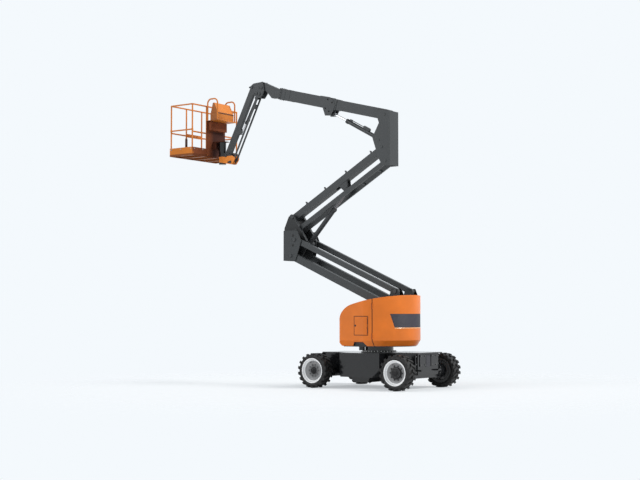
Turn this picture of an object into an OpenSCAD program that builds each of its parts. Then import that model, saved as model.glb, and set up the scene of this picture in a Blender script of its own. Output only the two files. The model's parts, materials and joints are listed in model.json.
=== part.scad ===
// Articulating boom lift: two parallel-link risers, telescopic main boom, jib and turning platform.
// Millimetres, +X towards the platform, +Y the machine's left, +Z up.
// The origin lies on the floor under the slew axis.

/* [Wheels] */
// distance between the front and rear axles
wheelbase = 2040; // [1700:10:2400]
// distance between the tyre centre planes
track = 1760; // [1600:10:2000]
// tyre diameter over the lug tips
tyre_d = 720; // [640:5:800]
// tyre width
tyre_w = 264; // [220:2:300]
// rim flange diameter
rim_d = 516; // [440:2:560]
// height of a tread lug
lug_h = 26; // [16:1:36]
// lugs in one row round the tyre
lug_count = 18; // [12:1:24]
// width of a lug
lug_w = 50; // [36:1:60]
// slant of a lug against the axle
lug_skew = 24; // [10:1:35]
// distance from the king pin to the tyre centre plane
king_offset = 176; // [150:2:200]

/* [Chassis] */
// front end of the wide middle body, ahead of the slew axis
body_front = 530; // [480:5:550]
// rear end of the wide middle body, behind the slew axis
body_back = 456; // [420:4:500]
// half width of the wide middle body
body_half = 700; // [640:5:720]
// underside of the wide middle body
body_z0 = 236; // [200:2:270]
// top of the chassis
chassis_top = 735; // [690:5:780]
// half width of the axle boxes at both ends
nose_half = 395; // [340:5:430]
// underside of the axle boxes
nose_z0 = 300; // [260:5:340]
// overhang of the axle boxes past the axles
nose_over = 170; // [120:5:230]
// underside of the belly pan
belly_z0 = 126; // [100:2:160]
// length of the belly pan
belly_len = 480; // [360:10:600]
// half width of the belly pan
belly_half = 520; // [440:5:600]

/* [Turntable] */
// outer radius of the slew bearing
slew_r = 300; // [260:5:340]
// underside of the turntable deck
deck_z = 866; // [840:2:900]
// deck plate thickness
deck_t = 44; // [30:1:50]
// half width of the hood
hood_half = 850; // [800:5:880]
// front face of the hood
hood_front = 478; // [420:2:520]
// room between the tower plates' rear corners and the tail's skin
tail_room = 48; // [40:1:60]
// roof height over the slew axis
roof_z = 1770; // [1720:5:1820]
// radius of the roof arc seen from the side
roof_r = 7000; // [6000:100:8000]
// fall of the roof over the slew axis
roof_deg = 14; // [12:0.5:16]
// radius of the rounded brow between the roof and the front face
brow_r = 480; // [420:5:540]
// radius of the hood's front corners seen from above
corner_r = 110; // [60:5:150]
// inward slope of the skirt round the hood's lower edge
skirt_in = 70; // [50:2:90]
// height of the sloping skirt
skirt_h = 115; // [90:5:140]
// hood skin thickness
hood_t = 8; // [5:1:14]
// seam between the side covers and the tail
seam_x = -345; // [-400:5:-320]
// gap along a cover's seam
seam_gap = 7; // [5:1:12]
// half width of the boom slot through the hood
slot_half = 425; // [412:1:450]

/* [Lower riser] */
// rear pin of the lower arms, forward of the slew axis
arm_pin_x = -520; // [-540:5:-480]
// rear pin of the lower arms, above the floor
arm_pin_z = 1650; // [1600:5:1700]
// pin distance of the lower arms
riser1_len = 2846; // [2700:2:3000]
// rise of the lower arms in the pose shown
riser1_deg = 24; // [20:0.5:28]
// tension link's pins behind the arm's pins
tie_back = 100; // [80:5:120]
// tension link's pins above the arm's pins
tie_up = 350; // [320:5:380]
// height of a lower arm
arm1_h = 160; // [140:5:180]
// height of a tension link
tie_h = 112; // [90:2:120]
// inner face of the lower arms
arm1_in = 240; // [236:1:250]
// width of a lower arm
arm1_w = 92; // [80:2:96]

/* [Upper riser] */
// upper arm's lower pin forward of the lower riser's pin
knee_dx = 98; // [80:2:110]
// upper arm's lower pin above the lower riser's pin
knee_dz = 861; // [840:1:880]
// pin distance of the upper riser's arms
riser2_len = 2728; // [2600:2:2800]
// rise of the upper riser in the pose shown
riser2_deg = 30.5; // [28:0.5:33]
// lower bars' pins behind the upper arm's pins
bar_back = 98; // [80:2:110]
// lower bars' pins below the upper arm's pins
bar_down = 306; // [290:2:320]
// height of the upper arm
arm2_h = 146; // [130:2:160]
// half width of the upper arm
arm2_half = 84; // [76:1:90]
// height of a lower bar
bar_h = 100; // [90:2:110]
// width of a lower bar
bar_w = 38; // [30:1:40]
// riser cylinder's rod pin, distance along the upper arm from its upper pin
lift_s = 1265; // [1200:5:1330]
// riser cylinder's rod pin, below the upper arm's centre line
lift_drop = 246; // [236:2:260]

/* [Main boom] */
// boom pin behind the upper riser's upper pin
boom_pin_dx = -66; // [-80:2:-50]
// boom pin above the upper riser's upper pin
boom_pin_dz = 682; // [660:2:710]
// rise of the boom in the pose shown
boom_deg = 14.5; // [12:0.5:17]
// boom pin to the end of the base section
base_len = 2930; // [2800:10:3050]
// height of the base section
base_h = 222; // [210:1:232]
// half width of the base section
base_half = 96; // [90:1:100]
// base section's end to the levelling knuckle's hinge
neck_out = 555; // [520:5:600]
// levelling knuckle's hinge above the boom's centre line
neck_up = 54; // [40:2:70]
// lift cylinder's rod pin, distance along the boom
luff_s = 1372; // [1320:4:1420]
// lift cylinder's rod pin, below the boom's centre line
luff_drop = 206; // [196:2:220]

/* [Jib] */
// pin distance of the jib
jib_len = 1700; // [1620:5:1780]
// fall of the jib in the pose shown
jib_deg = 63; // [60:0.5:66]
// depth of the jib arm
jib_h = 140; // [124:2:150]
// half width of the jib arm
jib_half = 42; // [38:1:48]
// depth of a jib link
jib_link_h = 38; // [34:2:42]
// rotator radius
rotator_r = 84; // [76:2:96]

/* [Platform] */
// depth of the platform, rear to front
plat_d = 695; // [640:5:760]
// width of the platform
plat_w = 1620; // [1400:10:1800]
// rotator axis to the platform's rear edge
plat_gap = 214; // [210:2:240]
// floor's underside below the jib's lower pin
plat_drop = 24; // [16:2:40]
// height of the top rail above the floor's underside
rail_h = 1180; // [1080:5:1200]
// height of the toe boards
toe_h = 190; // [150:5:210]
// diameter of a rail tube
rail_d = 34; // [28:1:42]

/* [Fits] */
// radial clearance of a pin in its bore
pin_fit = 0.4; // [0.2:0.1:0.6]
// clearance of sliding and stacked faces
face_fit = 0.4; // [0.2:0.1:0.6]
// side clearance between arms and plates
side_fit = 5; // [5:1:8]
// thickness of a steel plate
plate_t = 15; // [12:1:18]

/* [Hidden] */
$fn = 48;
axle_z = tyre_d / 2;
axle_x = wheelbase / 2;
wheel_y = track / 2;
king_y = wheel_y - king_offset;
nose_x = axle_x + nose_over;
deck_top = deck_z + deck_t;
hood_z0 = deck_z + 14;
knee_in = arm1_in + arm1_w + side_fit;
tower_back = -arm_pin_x + tie_back + 110;
tail_r = norm([tower_back, knee_in + plate_t]) + tail_room + hood_t;
roof_c = [-roof_r * sin(roof_deg), roof_z - roof_r * cos(roof_deg)];
brow_x = hood_front - brow_r + brow_r * sin(roof_deg + 1);
brow_c = [hood_front - brow_r, roof_c[1] + sqrt(pow(roof_r, 2) - pow(brow_x - roof_c[0], 2))
    - brow_r * cos(roof_deg + 1)];
seam_y = sqrt(tail_r * tail_r - seam_x * seam_x);
hinge_r = 11;
hinge_pin = 6;
pin_r = 32;
// lower riser, pins as [x, z]
l0 = [arm_pin_x, arm_pin_z];
tie_off = [-tie_back, tie_up];
dir1 = [cos(riser1_deg), sin(riser1_deg)];
l1 = l0 + riser1_len * dir1;
u0 = l0 + tie_off;
u1 = l1 + tie_off;
arm1_out = arm1_in + arm1_w;
// upper riser
a0 = l1 + [knee_dx, knee_dz];
dir2 = [cos(riser2_deg), -sin(riser2_deg)];
up2 = [sin(riser2_deg), cos(riser2_deg)];
a1 = a0 - riser2_len * dir2;
bar_off = [-bar_back, -bar_down];
b0 = a0 + bar_off;
b1 = a1 + bar_off;
bar_in = arm2_half + 4 * side_fit;
bar_out = bar_in + bar_w;
post_in = bar_out + side_fit;
post_out = post_in + plate_t;
tower_in = post_out + 28;
// riser lift cylinder
c0 = l1 + [-250, 262];
c1 = a1 + lift_s * dir2 - lift_drop * up2;
// main boom
pb = a1 + [boom_pin_dx, boom_pin_dz];
dirb = [cos(boom_deg), sin(boom_deg)];
upb = [-sin(boom_deg), cos(boom_deg)];
neck_s = base_len + neck_out;
n0 = pb + neck_s * dirb + neck_up * upb;
d0 = pb + [140, -535];
d1 = pb + luff_s * dirb - luff_drop * upb;
// jib
j0 = n0 + [278, 40];
k_off = [-138, -158];
k0 = j0 + k_off;
dirj = [cos(jib_deg), -sin(jib_deg)];
upj = [sin(jib_deg), cos(jib_deg)];
j1 = j0 + jib_len * dirj;
k1 = k0 + jib_len * dirj;
jpost_in = jib_half + 2 * side_fit + 22;
jpost_out = jpost_in + 14;
link_crank = jib_link_h / 2 + pin_r - 4;
lug_root = n0 + [62, -140];
e0 = n0 + [200, -210];
lug_n = [lug_root[1] - e0[1], e0[0] - lug_root[0]] / norm(e0 - lug_root);
lug_r = 34;
e1 = j0 + 0.62 * jib_len * dirj - (jib_h / 2 + 70) * upj;
// platform
collar_w = 8;
rotator_dx = jib_h / 2 + side_fit + rotator_r + collar_w + 3;
rot = j1 + [rotator_dx, 0];
rot_h = 520;
rot_z0 = rot[1] - 190;
rot_top = rot_z0 + rot_h;
plat_x0 = rot[0] + plat_gap;
plat_x1 = plat_x0 + plat_d;
plat_z0 = j1[1] - plat_drop;
floor_t = 40;
rail_top = plat_z0 + rail_h;
mid_z = plat_z0 + 0.465 * rail_h;
half_w = plat_w / 2;
rr = rail_d / 2;

// pin or boss along Y at an [x, z] point
module yrod(p, r, y0, y1) {
    translate([p[0], y0, p[1]]) rotate([-90, 0, 0]) cylinder(h = y1 - y0, r = r);
}

// plate in the x-z plane between two y values
module xz_plate(pts, y0, y1) {
    translate([0, y1, 0]) rotate([90, 0, 0]) linear_extrude(y1 - y0) polygon(pts);
}

// local frame at an [x, z] point with +X turned up by an angle
module at(p, deg) {
    translate([p[0], 0, p[1]]) rotate([0, -deg, 0]) children();
}

module both_sides() {
    children();
    mirror([0, 1, 0]) children();
}

// box-section bar along +X with a boss and a bore at each end, between two y values
module pin_bar(len, h, y0, y1, wall, boss, bore) {
    w = y1 - y0;
    difference() {
        union() {
            difference() {
                translate([0, y0, -h / 2]) cube([len, w, h]);
                translate([boss + 40, y0 + wall, -h / 2 + wall])
                    cube([len - 2 * boss - 80, w - 2 * wall, h - 2 * wall]);
            }
            for (x = [0, len]) yrod([x, 0], boss, y0, y1);
        }
        for (x = [0, len]) yrod([x, 0], bore, y0 - 1, y1 + 1);
    }
}

// cylinder barrel along +X from its eye
module barrel(len, r, rod_r, eye_w, eye_r, bore) {
    difference() {
        union() {
            yrod([0, 0], eye_r, -eye_w / 2, eye_w / 2);
            rotate([0, 90, 0]) cylinder(h = len, r = r);
            translate([len - 46, 0, 0]) rotate([0, 90, 0]) cylinder(h = 46, r = r + 7);
        }
        translate([eye_r + 30, 0, 0]) rotate([0, 90, 0]) cylinder(h = len, r = rod_r + pin_fit);
        yrod([0, 0], bore, -eye_w, eye_w);
    }
}

// cylinder rod along -X from its eye, whose pin stub stays inside the eye
module rod(len, r, eye_w, eye_r) {
    yrod([0, 0], eye_r, -eye_w / 2, eye_w / 2);
    translate([-len, 0, 0]) rotate([0, 90, 0]) cylinder(h = len, r = r);
}

function deg_of(p, q) = atan2(q[1] - p[1], q[0] - p[0]);
function span(p, q) = norm(q - p);

// chassis

module chassis_side() {
    rear_cut = 0.4 * body_back;
    polygon([[-body_back, chassis_top], [-body_back, body_z0 + 0.86 * rear_cut],
        [rear_cut - body_back, body_z0], [body_front - 30, body_z0], [body_front, body_z0 + 30],
        [body_front, chassis_top]]);
}

module belly_side() {
    mid = (body_front - body_back) / 2 + 90;
    hb = belly_len / 2;
    polygon([[mid - hb, body_z0 + 1], [mid - hb + 60, belly_z0], [mid + hb - 60, belly_z0],
        [mid + hb, body_z0 + 1]]);
}

module chassis_frame() {
    color([0.22, 0.22, 0.24]) {
        translate([0, body_half, 0]) rotate([90, 0, 0]) linear_extrude(2 * body_half) chassis_side();
        translate([0, belly_half, 0]) rotate([90, 0, 0]) linear_extrude(2 * belly_half) belly_side();
        for (s = [-1, 1]) difference() {
            translate([s < 0 ? -nose_x : 0, -nose_half, nose_z0])
                cube([nose_x, 2 * nose_half, chassis_top - nose_z0]);
            translate([s * axle_x, 0, axle_z]) cube([248, 4 * nose_half, 260], center = true);
        }
        translate([-nose_x - 60, -nose_half - 70, chassis_top - 1])
            cube([nose_x - 300, 2 * nose_half + 140, 19]);
        translate([0, 0, chassis_top - 1]) cylinder(h = 20, r = slew_r + 90);
        for (s = [-1, 1]) for (t = [-1, 1]) difference() {
            translate([s * (nose_x + 25), t * (nose_half - 60), nose_z0 + 90])
                cube([110, 110, 30], center = true);
            translate([s * (nose_x + 35), t * (nose_half - 60), nose_z0]) cylinder(h = 200, r = 25);
        }
    }
}

module axle_beam(s) {
    translate([s * axle_x, 0, axle_z]) cube([248, 2 * (king_y - 140), 260], center = true);
}

module front_axle() {
    color([0.2, 0.2, 0.22]) {
        axle_beam(1);
        both_sides() {
            translate([axle_x - 75, king_y - 150, axle_z - 120]) cube([150, 80, 240]);
            for (z = [-120, 84]) translate([axle_x, king_y, axle_z + z]) {
                translate([-40, -100, 0]) cube([80, 100, 36]);
                cylinder(h = 36, r = 40);
            }
            translate([axle_x, king_y, axle_z - 110]) cylinder(h = 220, r = 28);
        }
    }
}

module rear_axle() {
    color([0.2, 0.2, 0.22]) {
        axle_beam(-1);
        both_sides() {
            yrod([-axle_x, axle_z], 150, king_y - 150, wheel_y - 128);
            yrod([-axle_x, axle_z], 60, wheel_y - 140, wheel_y + 20);
        }
    }
}

module knuckle() {
    kh = 84 - side_fit;
    difference() {
        union() {
            translate([axle_x, king_y, axle_z - kh]) cylinder(h = 2 * kh, r = 58);
            translate([axle_x - 58, king_y, axle_z - kh]) cube([116, 60, 2 * kh]);
            yrod([axle_x, axle_z], 105, king_y + 52, wheel_y - 104);
            yrod([axle_x, axle_z], 60, king_y + 60, wheel_y + 20);
        }
        translate([axle_x, king_y, 0]) cylinder(h = tyre_d, r = 28 + pin_fit);
    }
}

module knuckle_left() { color([0.2, 0.2, 0.22]) knuckle(); }
module knuckle_right() { color([0.2, 0.2, 0.22]) mirror([0, 1, 0]) knuckle(); }

module slew_bearing() {
    color([0.16, 0.16, 0.17])
        translate([0, 0, chassis_top + 19]) difference() {
            cylinder(h = deck_z - chassis_top - 19 - face_fit, r = slew_r);
            translate([0, 0, -1]) cylinder(h = deck_z, r = slew_r - 110);
        }
}

// wheels, modelled about the origin with the outer side towards +Y

module tyre() {
    ro = tyre_d / 2;
    rb = ro - lug_h;
    ri = rim_d / 2 - 14;
    hw = tyre_w / 2;
    rotate([-90, 0, 0]) {
        rotate_extrude($fn = 64)
            polygon([[ri, -hw + 34], [ri + 20, -hw + 14], [rb - 40, -hw + 4], [rb - 10, -hw + 10],
                [rb, -hw + 26],
                [rb, hw - 26], [rb - 10, hw - 10], [rb - 40, hw - 4], [ri + 20, hw - 14], [ri, hw - 34]]);
        intersection() {
            union() for (side = [-1, 1]) for (i = [0 : lug_count - 1])
                rotate([0, 0, 90 + (i + (side > 0 ? 0 : 0.5)) * 360 / lug_count])
                    translate([rb - 30, 0, side * hw]) rotate([side * lug_skew, 0, 0])
                        translate([0, -lug_w / 2, side > 0 ? -1.1 * hw : -0.1 * hw])
                            cube([80, lug_w, 1.2 * hw]);
            translate([0, 0, -hw]) difference() {
                cylinder(h = 2 * hw, r = ro, $fn = 64);
                translate([0, 0, -1]) cylinder(h = 2 * hw + 2, r = rb - 18, $fn = 64);
            }
        }
    }
}

module rim(hub_r, hub_out) {
    hw = tyre_w / 2;
    rf = rim_d / 2;
    rotate([-90, 0, 0]) difference() {
        rotate_extrude($fn = 64)
            polygon([[0, -20], [rf - 60, -30], [rf - 60, -hw + 20], [rf, -hw + 4], [rf, -hw + 14],
                [rf - 15, -hw + 33], [rf - 15, hw - 33], [rf, hw - 14], [rf, hw - 4],
                [rf - 14, hw - 8], [rf - 34, hw - 46], [rf - 90, hw - 78], [hub_r + 16, hw - 78],
                [hub_r, hub_out - 12], [hub_r - 12, hub_out], [0, hub_out]]);
        translate([0, 0, -hw]) cylinder(h = hw + 22 , r = 60 + pin_fit);
    }
}

module wheel_at(sx, sy) {
    translate([sx * axle_x, sy * wheel_y, axle_z]) {
        if (sy > 0) children();
        else mirror([0, 1, 0]) children();
    }
}

module tyre_fl() { color([0.14, 0.14, 0.13]) wheel_at(1, 1) tyre(); }
module tyre_fr() { color([0.14, 0.14, 0.13]) wheel_at(1, -1) tyre(); }
module tyre_rl() { color([0.14, 0.14, 0.13]) wheel_at(-1, 1) tyre(); }
module tyre_rr() { color([0.14, 0.14, 0.13]) wheel_at(-1, -1) tyre(); }
module rim_fl() { color([0.78, 0.78, 0.8]) wheel_at(1, 1) rim(64, 92); }
module rim_fr() { color([0.78, 0.78, 0.8]) wheel_at(1, -1) rim(64, 92); }
module rim_rl() { color([0.78, 0.78, 0.8]) wheel_at(-1, 1) rim(100, 104); }
module rim_rr() { color([0.78, 0.78, 0.8]) wheel_at(-1, -1) rim(100, 104); }

// hood, plan and side outlines shrunk by an inset

module front_plan(inset) {
    r = max(corner_r - inset, 1);
    hf = hood_front - inset;
    hh = hood_half - inset;
    translate([0, r - hh]) square([hf, 2 * (hh - r)]);
    translate([0, -hh]) square([hf - r, 2 * hh]);
    for (s = [-1, 1]) translate([hf - r, s * (hh - r)]) circle(r = r, $fn = 96);
}

module hood_plan(inset) {
    intersection() {
        union() {
            circle(r = tail_r - inset, $fn = 240);
            front_plan(inset);
        }
        translate([-2 * tail_r, inset - hood_half]) square([4 * tail_r, 2 * (hood_half - inset)]);
    }
}

module hood_side(inset) {
    hf = hood_front - inset;
    intersection() {
        translate(roof_c) circle(r = roof_r - inset, $fn = 720);
        union() {
            translate([-2 * tail_r, hood_z0]) square([2 * tail_r + brow_x, roof_z]);
            translate(brow_c) circle(r = brow_r - inset, $fn = 192);
            translate([-2 * tail_r, hood_z0]) square([2 * tail_r + hf, brow_c[1] - hood_z0]);
        }
        polygon([[-2 * tail_r, hood_z0], [hf - skirt_in, hood_z0], [hf, hood_z0 + skirt_h],
            [hf, hood_z0 + roof_z], [-2 * tail_r, hood_z0 + roof_z]]);
    }
}

module hood_solid(inset) {
    hh = hood_half - inset;
    intersection() {
        union() {
            translate([0, 0, hood_z0]) cylinder(h = skirt_h, r1 = tail_r - skirt_in - inset,
                r2 = tail_r - inset, $fn = 240);
            translate([0, 0, hood_z0 + skirt_h]) cylinder(h = roof_z, r = tail_r - inset, $fn = 240);
            translate([0, 0, hood_z0]) linear_extrude(roof_z) front_plan(inset);
        }
        translate([0, tail_r, 0]) rotate([90, 0, 0]) linear_extrude(2 * tail_r) hood_side(inset);
        translate([-tail_r, 0, 0]) rotate([90, 0, 90]) linear_extrude(2 * tail_r)
            polygon([[skirt_in - hh, hood_z0], [hh - skirt_in, hood_z0], [hh, hood_z0 + skirt_h],
                [hh, hood_z0 + roof_z], [-hh, hood_z0 + roof_z], [-hh, hood_z0 + skirt_h]]);
    }
}

module hood_shell() {
    difference() {
        hood_solid(0);
        translate([0, 0, -1]) hood_solid(hood_t);
    }
}

// hinge on a vertical axis: fixed knuckles with the pin, and the leaf's sleeve between them
module hinge_fixed(x, y, z) {
    translate([x, y, z]) {
        cylinder(h = 30, r = hinge_r);
        cylinder(h = 112, r = hinge_pin);
        translate([0, 0, 82]) cylinder(h = 30, r = hinge_r);
    }
}

module hinge_sleeve(x, y, z) {
    translate([x, y, z + 30 + face_fit]) difference() {
        cylinder(h = 52 - 2 * face_fit, r = hinge_r);
        translate([0, 0, -1]) cylinder(h = 60, r = hinge_pin + pin_fit);
    }
}

module hinge_bore(x, y, z) {
    translate([x, y, z + 20]) cylinder(h = 72, r = hinge_pin + pin_fit);
}

module hinge_room(x, y, z, sleeve) {
    if (sleeve) translate([x, y, z + 25]) cylinder(h = 62, r = hinge_r + 5);
    else for (dz = [-5, 77]) translate([x, y, z + dz]) cylinder(h = 40, r = hinge_r + 5);
}

cover_hx = seam_x - seam_gap / 2;
cover_hy = seam_y + 5;
cover_hz = [hood_z0 + 150, hood_z0 + 760];
door_x0 = -247;
door_x1 = 54;
door_z0 = 1108;
door_z1 = 1488;
door_gap = 5;
notch_x = -40;
slot_back = tower_back + 12;
door_hx = door_x0 - door_gap / 2;
door_hy = sqrt(tail_r * tail_r - door_hx * door_hx) + 4;
door_hz = [door_z0 + 40, door_z1 - 152];

module side_cover() {
    difference() {
        intersection() {
            hood_shell();
            translate([seam_x, slot_half, 0]) cube([2 * tail_r, tail_r, 2 * roof_z]);
        }
        for (z = cover_hz) hinge_room(cover_hx, cover_hy, z, false);
        for (z = cover_hz) hinge_bore(cover_hx, cover_hy, z);
    }
    for (z = cover_hz) hinge_sleeve(cover_hx, cover_hy, z);
}

module side_cover_left() {
    color([0.88, 0.45, 0.16]) {
        difference() {
            side_cover();
            translate([door_x0 - door_gap, hood_half - 150, door_z0 - door_gap])
                cube([door_x1 - door_x0 + 2 * door_gap, 200, door_z1 - door_z0 + 2 * door_gap]);
            for (z = door_hz) hinge_room(door_hx, door_hy, z, true);
            xz_plate([[notch_x - 170, hood_z0 - 1], [notch_x - 110, hood_z0 + 84],
                [notch_x + 110, hood_z0 + 84],
                [notch_x + 170, hood_z0 - 1]], slot_half, tail_r);
        }
        for (z = door_hz) hinge_fixed(door_hx, door_hy, z);
    }
}

module side_cover_right() {
    color([0.88, 0.45, 0.16]) mirror([0, 1, 0]) side_cover();
}

module control_door() {
    color([0.88, 0.45, 0.16]) {
        difference() {
            intersection() {
                hood_shell();
                translate([door_x0, hood_half - 150, door_z0])
                    cube([door_x1 - door_x0, 200, door_z1 - door_z0]);
            }
            for (z = door_hz) hinge_room(door_hx, door_hy, z, false);
            for (z = door_hz) hinge_bore(door_hx, door_hy, z);
        }
        for (z = door_hz) hinge_sleeve(door_hx, door_hy, z);
    }
}

vent_z0 = 1260;
vent_z1 = 1540;
vent_top = 0.668 * tail_r;
vent_low = 0.577 * tail_r;

module vent_band(r0, r1, grow) {
    intersection() {
        translate([0, 0, vent_z0 - grow]) difference() {
            cylinder(h = vent_z1 - vent_z0 + 2 * grow, r = r1, $fn = 240);
            translate([0, 0, -1]) cylinder(h = roof_z, r = r0, $fn = 240);
        }
        rotate([90, 0, -90]) linear_extrude(2 * tail_r)
            polygon([[-vent_top - grow, vent_z1 + grow], [-vent_low - grow, vent_z0 - grow],
                [vent_low + grow, vent_z0 - grow], [vent_top + grow, vent_z1 + grow]]);
    }
}

module tail_cover() {
    color([0.88, 0.45, 0.16]) {
        difference() {
            union() {
                hood_shell();
                translate([0, 0, deck_top + face_fit]) linear_extrude(6) difference() {
                    hood_plan(skirt_in - 16);
                    hood_plan(skirt_in + hood_t + 22);
                }
            }
            translate([seam_x - seam_gap, -tail_r, 0]) cube([2 * tail_r, 2 * tail_r, 2 * roof_z]);
            translate([-slot_back, -slot_half, deck_top + skirt_h])
                cube([2 * tail_r, 2 * slot_half, 2 * roof_z]);
            vent_band(tail_r - 100, tail_r + 50, 1);
            both_sides() for (z = cover_hz) hinge_room(cover_hx, cover_hy, z, true);
        }
        both_sides() for (z = cover_hz) hinge_fixed(cover_hx, cover_hy, z);
    }
}

module tail_vent() {
    color([0.13, 0.12, 0.12]) vent_band(tail_r - hood_t - 6, tail_r - 4, 0.8);
}

// turntable

module turntable_frame() {
    color([0.24, 0.25, 0.26]) {
        translate([0, 0, deck_z]) linear_extrude(deck_t) intersection() {
            hood_plan(skirt_in + hood_t + 6);
            translate([-2 * tail_r, -tail_r]) square([2 * tail_r + hood_front - 100, 2 * tail_r]);
        }
        translate([0.85 * slew_r, 0.91 * slew_r, deck_z - 88]) cylinder(h = 90, r = 62);
        both_sides() {
            for (y = [[tower_in, tower_in + plate_t], [knee_in, knee_in + plate_t]])
                xz_plate([[l0[0] + 330, deck_top - 1], [l0[0] + 110, l0[1] + 40], [u0[0] + 90, u0[1] + 60],
                    [u0[0] - 60, u0[1] + 60], [u0[0] - 110, u0[1] - 60], [l0[0] - 160, deck_top - 1]],
                    y[0], y[1]);
            yrod(l0, pin_r, tower_in, knee_in + plate_t + 8);
            yrod(u0, pin_r, tower_in, knee_in + plate_t + 8);
        }
    }
}

module counterweight() {
    edge = skirt_in + hood_t + 26;
    color([0.2, 0.2, 0.21]) translate([0, 0, deck_top]) linear_extrude(0.64 * tail_r) difference() {
        hood_plan(edge);
        translate([seam_x - 20, -tail_r]) square([2 * tail_r, 2 * tail_r]);
        translate([-slot_back, -knee_in - plate_t - 20]) square([2 * tail_r, 2 * (knee_in + plate_t + 20)]);
    }
}

module battery_block() {
    len = hood_front - seam_x - 340;
    wid = hood_half - slot_half - 125;
    color([0.25, 0.26, 0.28]) both_sides()
        translate([seam_x + 60, slot_half + 30, deck_top]) cube([len, wid, 0.44 * tail_r]);
}

// lower riser

module lower_arms() {
    color([0.3, 0.31, 0.31]) at(l0, riser1_deg) {
        both_sides() pin_bar(riser1_len, arm1_h, arm1_in, arm1_out, 8, arm1_h / 2, pin_r + pin_fit);
        translate([riser1_len - 420, -arm1_in - 10, -arm1_h / 2 + 5]) cube([110, 2 * arm1_in + 20, 70]);
    }
}

module tension_links() {
    color([0.3, 0.31, 0.31]) at(u0, riser1_deg)
        both_sides() pin_bar(riser1_len, tie_h, arm1_in + 8, arm1_out - 4, 6, tie_h / 2, pin_r + pin_fit);
}

module knee_upright() {
    color([0.32, 0.33, 0.33]) {
        xf = l1[0] + 196;
        xn = l1[0] + 318;
        both_sides() {
            xz_plate([[l1[0] - 130, l1[1] - 107], [xf, l1[1] - 107], [xf, l1[1] + 553],
                [u1[0] - 80, u1[1] + 193],
                [u1[0] - 180, u1[1] - 37]], knee_in, knee_in + plate_t);
            xz_plate([[l1[0] - 110, l1[1] - 90], [xn, l1[1] - 90], [xn, l1[1] + 620],
                [a0[0] + 105, a0[1] + 6],
                [a0[0] + 36, a0[1] + 64], [a0[0] - 50, a0[1] + 52], [c0[0] - 78, c0[1] + 60],
                [c0[0] - 78, c0[1] - 60]], post_in, post_out);
            yrod(l1, pin_r, post_in, knee_in + plate_t + 8);
            yrod(u1, pin_r, post_in, knee_in + plate_t + 8);
        }
        yrod(a0, pin_r, -post_out - 8, post_out + 8);
        yrod(b0, pin_r - 4, -post_out - 8, post_out + 8);
        yrod(c0, pin_r - 4, -post_out - 8, post_out + 8);
        translate([xf - plate_t, -knee_in - plate_t, l1[1] - 107])
            cube([plate_t, 2 * (knee_in + plate_t), 660]);
        translate([xn - plate_t, -post_out, l1[1] - 90]) cube([plate_t, 2 * post_out, 710]);
    }
}

lift_len = span(c0, c1);
lift_deg = deg_of(c0, c1);

module riser_barrel() {
    color([0.26, 0.27, 0.28]) at(c0, lift_deg) barrel(0.66 * lift_len, 52, 30, 2 * post_in - 20, 62,
        pin_r - 4 + pin_fit);
}

module riser_rod() {
    color([0.75, 0.76, 0.78]) at(c1, lift_deg) rod(0.66 * lift_len, 30, 84, 46);
}

// upper riser

module upper_arm() {
    color([0.3, 0.31, 0.31]) at(a1, -riser2_deg) {
        difference() {
            pin_bar(riser2_len, arm2_h, -arm2_half, arm2_half, 8, arm2_h / 2, pin_r + pin_fit);
            translate([lift_s - 90, -50, -arm2_h / 2 - 10]) cube([330, 100, 44]);
        }
        both_sides() xz_plate([[lift_s - 130, -arm2_h / 2 + 20], [lift_s + 130, -arm2_h / 2 + 20],
            [lift_s + 50, -lift_drop - 28], [lift_s - 40, -lift_drop - 28]], 50, 66);
    }
}

module lower_bars() {
    color([0.3, 0.31, 0.31]) at(b1, -riser2_deg) {
        both_sides() pin_bar(riser2_len, bar_h, bar_in, bar_out, 6, bar_h / 2, pin_r - 4 + pin_fit);
        for (x = [0.12, 0.3]) yrod([x * riser2_len, -10], 24, -bar_in - 5, bar_in + 5);
    }
}

module mast_upright() {
    xb = pb[0] - 150;
    color([0.3, 0.31, 0.31]) {
        both_sides() xz_plate([[xb, pb[1] + 62], [xb, b1[1] - 96], [b1[0] + 80, b1[1] - 96],
            [b1[0] + 160, b1[1] + 40], [b1[0] + 255, b1[1] + 300], [pb[0] + 298, pb[1] - 464],
            [pb[0] + 236, pb[1] - 364], [pb[0] + 130, pb[1] - 172],
                [pb[0] + 222, pb[1] + 100]], post_in, post_out);
        yrod(a1, pin_r, -post_out - 8, post_out + 8);
        yrod(b1, pin_r - 4, -post_out - 8, post_out + 8);
        yrod(pb, pin_r, -post_out - 8, post_out + 8);
        yrod(d0, pin_r - 4, -post_out - 8, post_out + 8);
        translate([xb, -post_out, b1[1] - 96]) cube([12, 2 * post_out, pb[1] - b1[1] + 158]);
    }
}

// main boom

luff_len = span(d0, d1);
luff_deg = deg_of(d0, d1);

module boom_barrel() {
    color([0.26, 0.27, 0.28]) at(d0, luff_deg) barrel(0.74 * luff_len, 44, 25, 2 * post_in - 20, 56,
        pin_r - 4 + pin_fit);
}

module boom_rod() {
    color([0.75, 0.76, 0.78]) at(d1, luff_deg) rod(0.86 * luff_len, 25, 70, 40);
}

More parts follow.
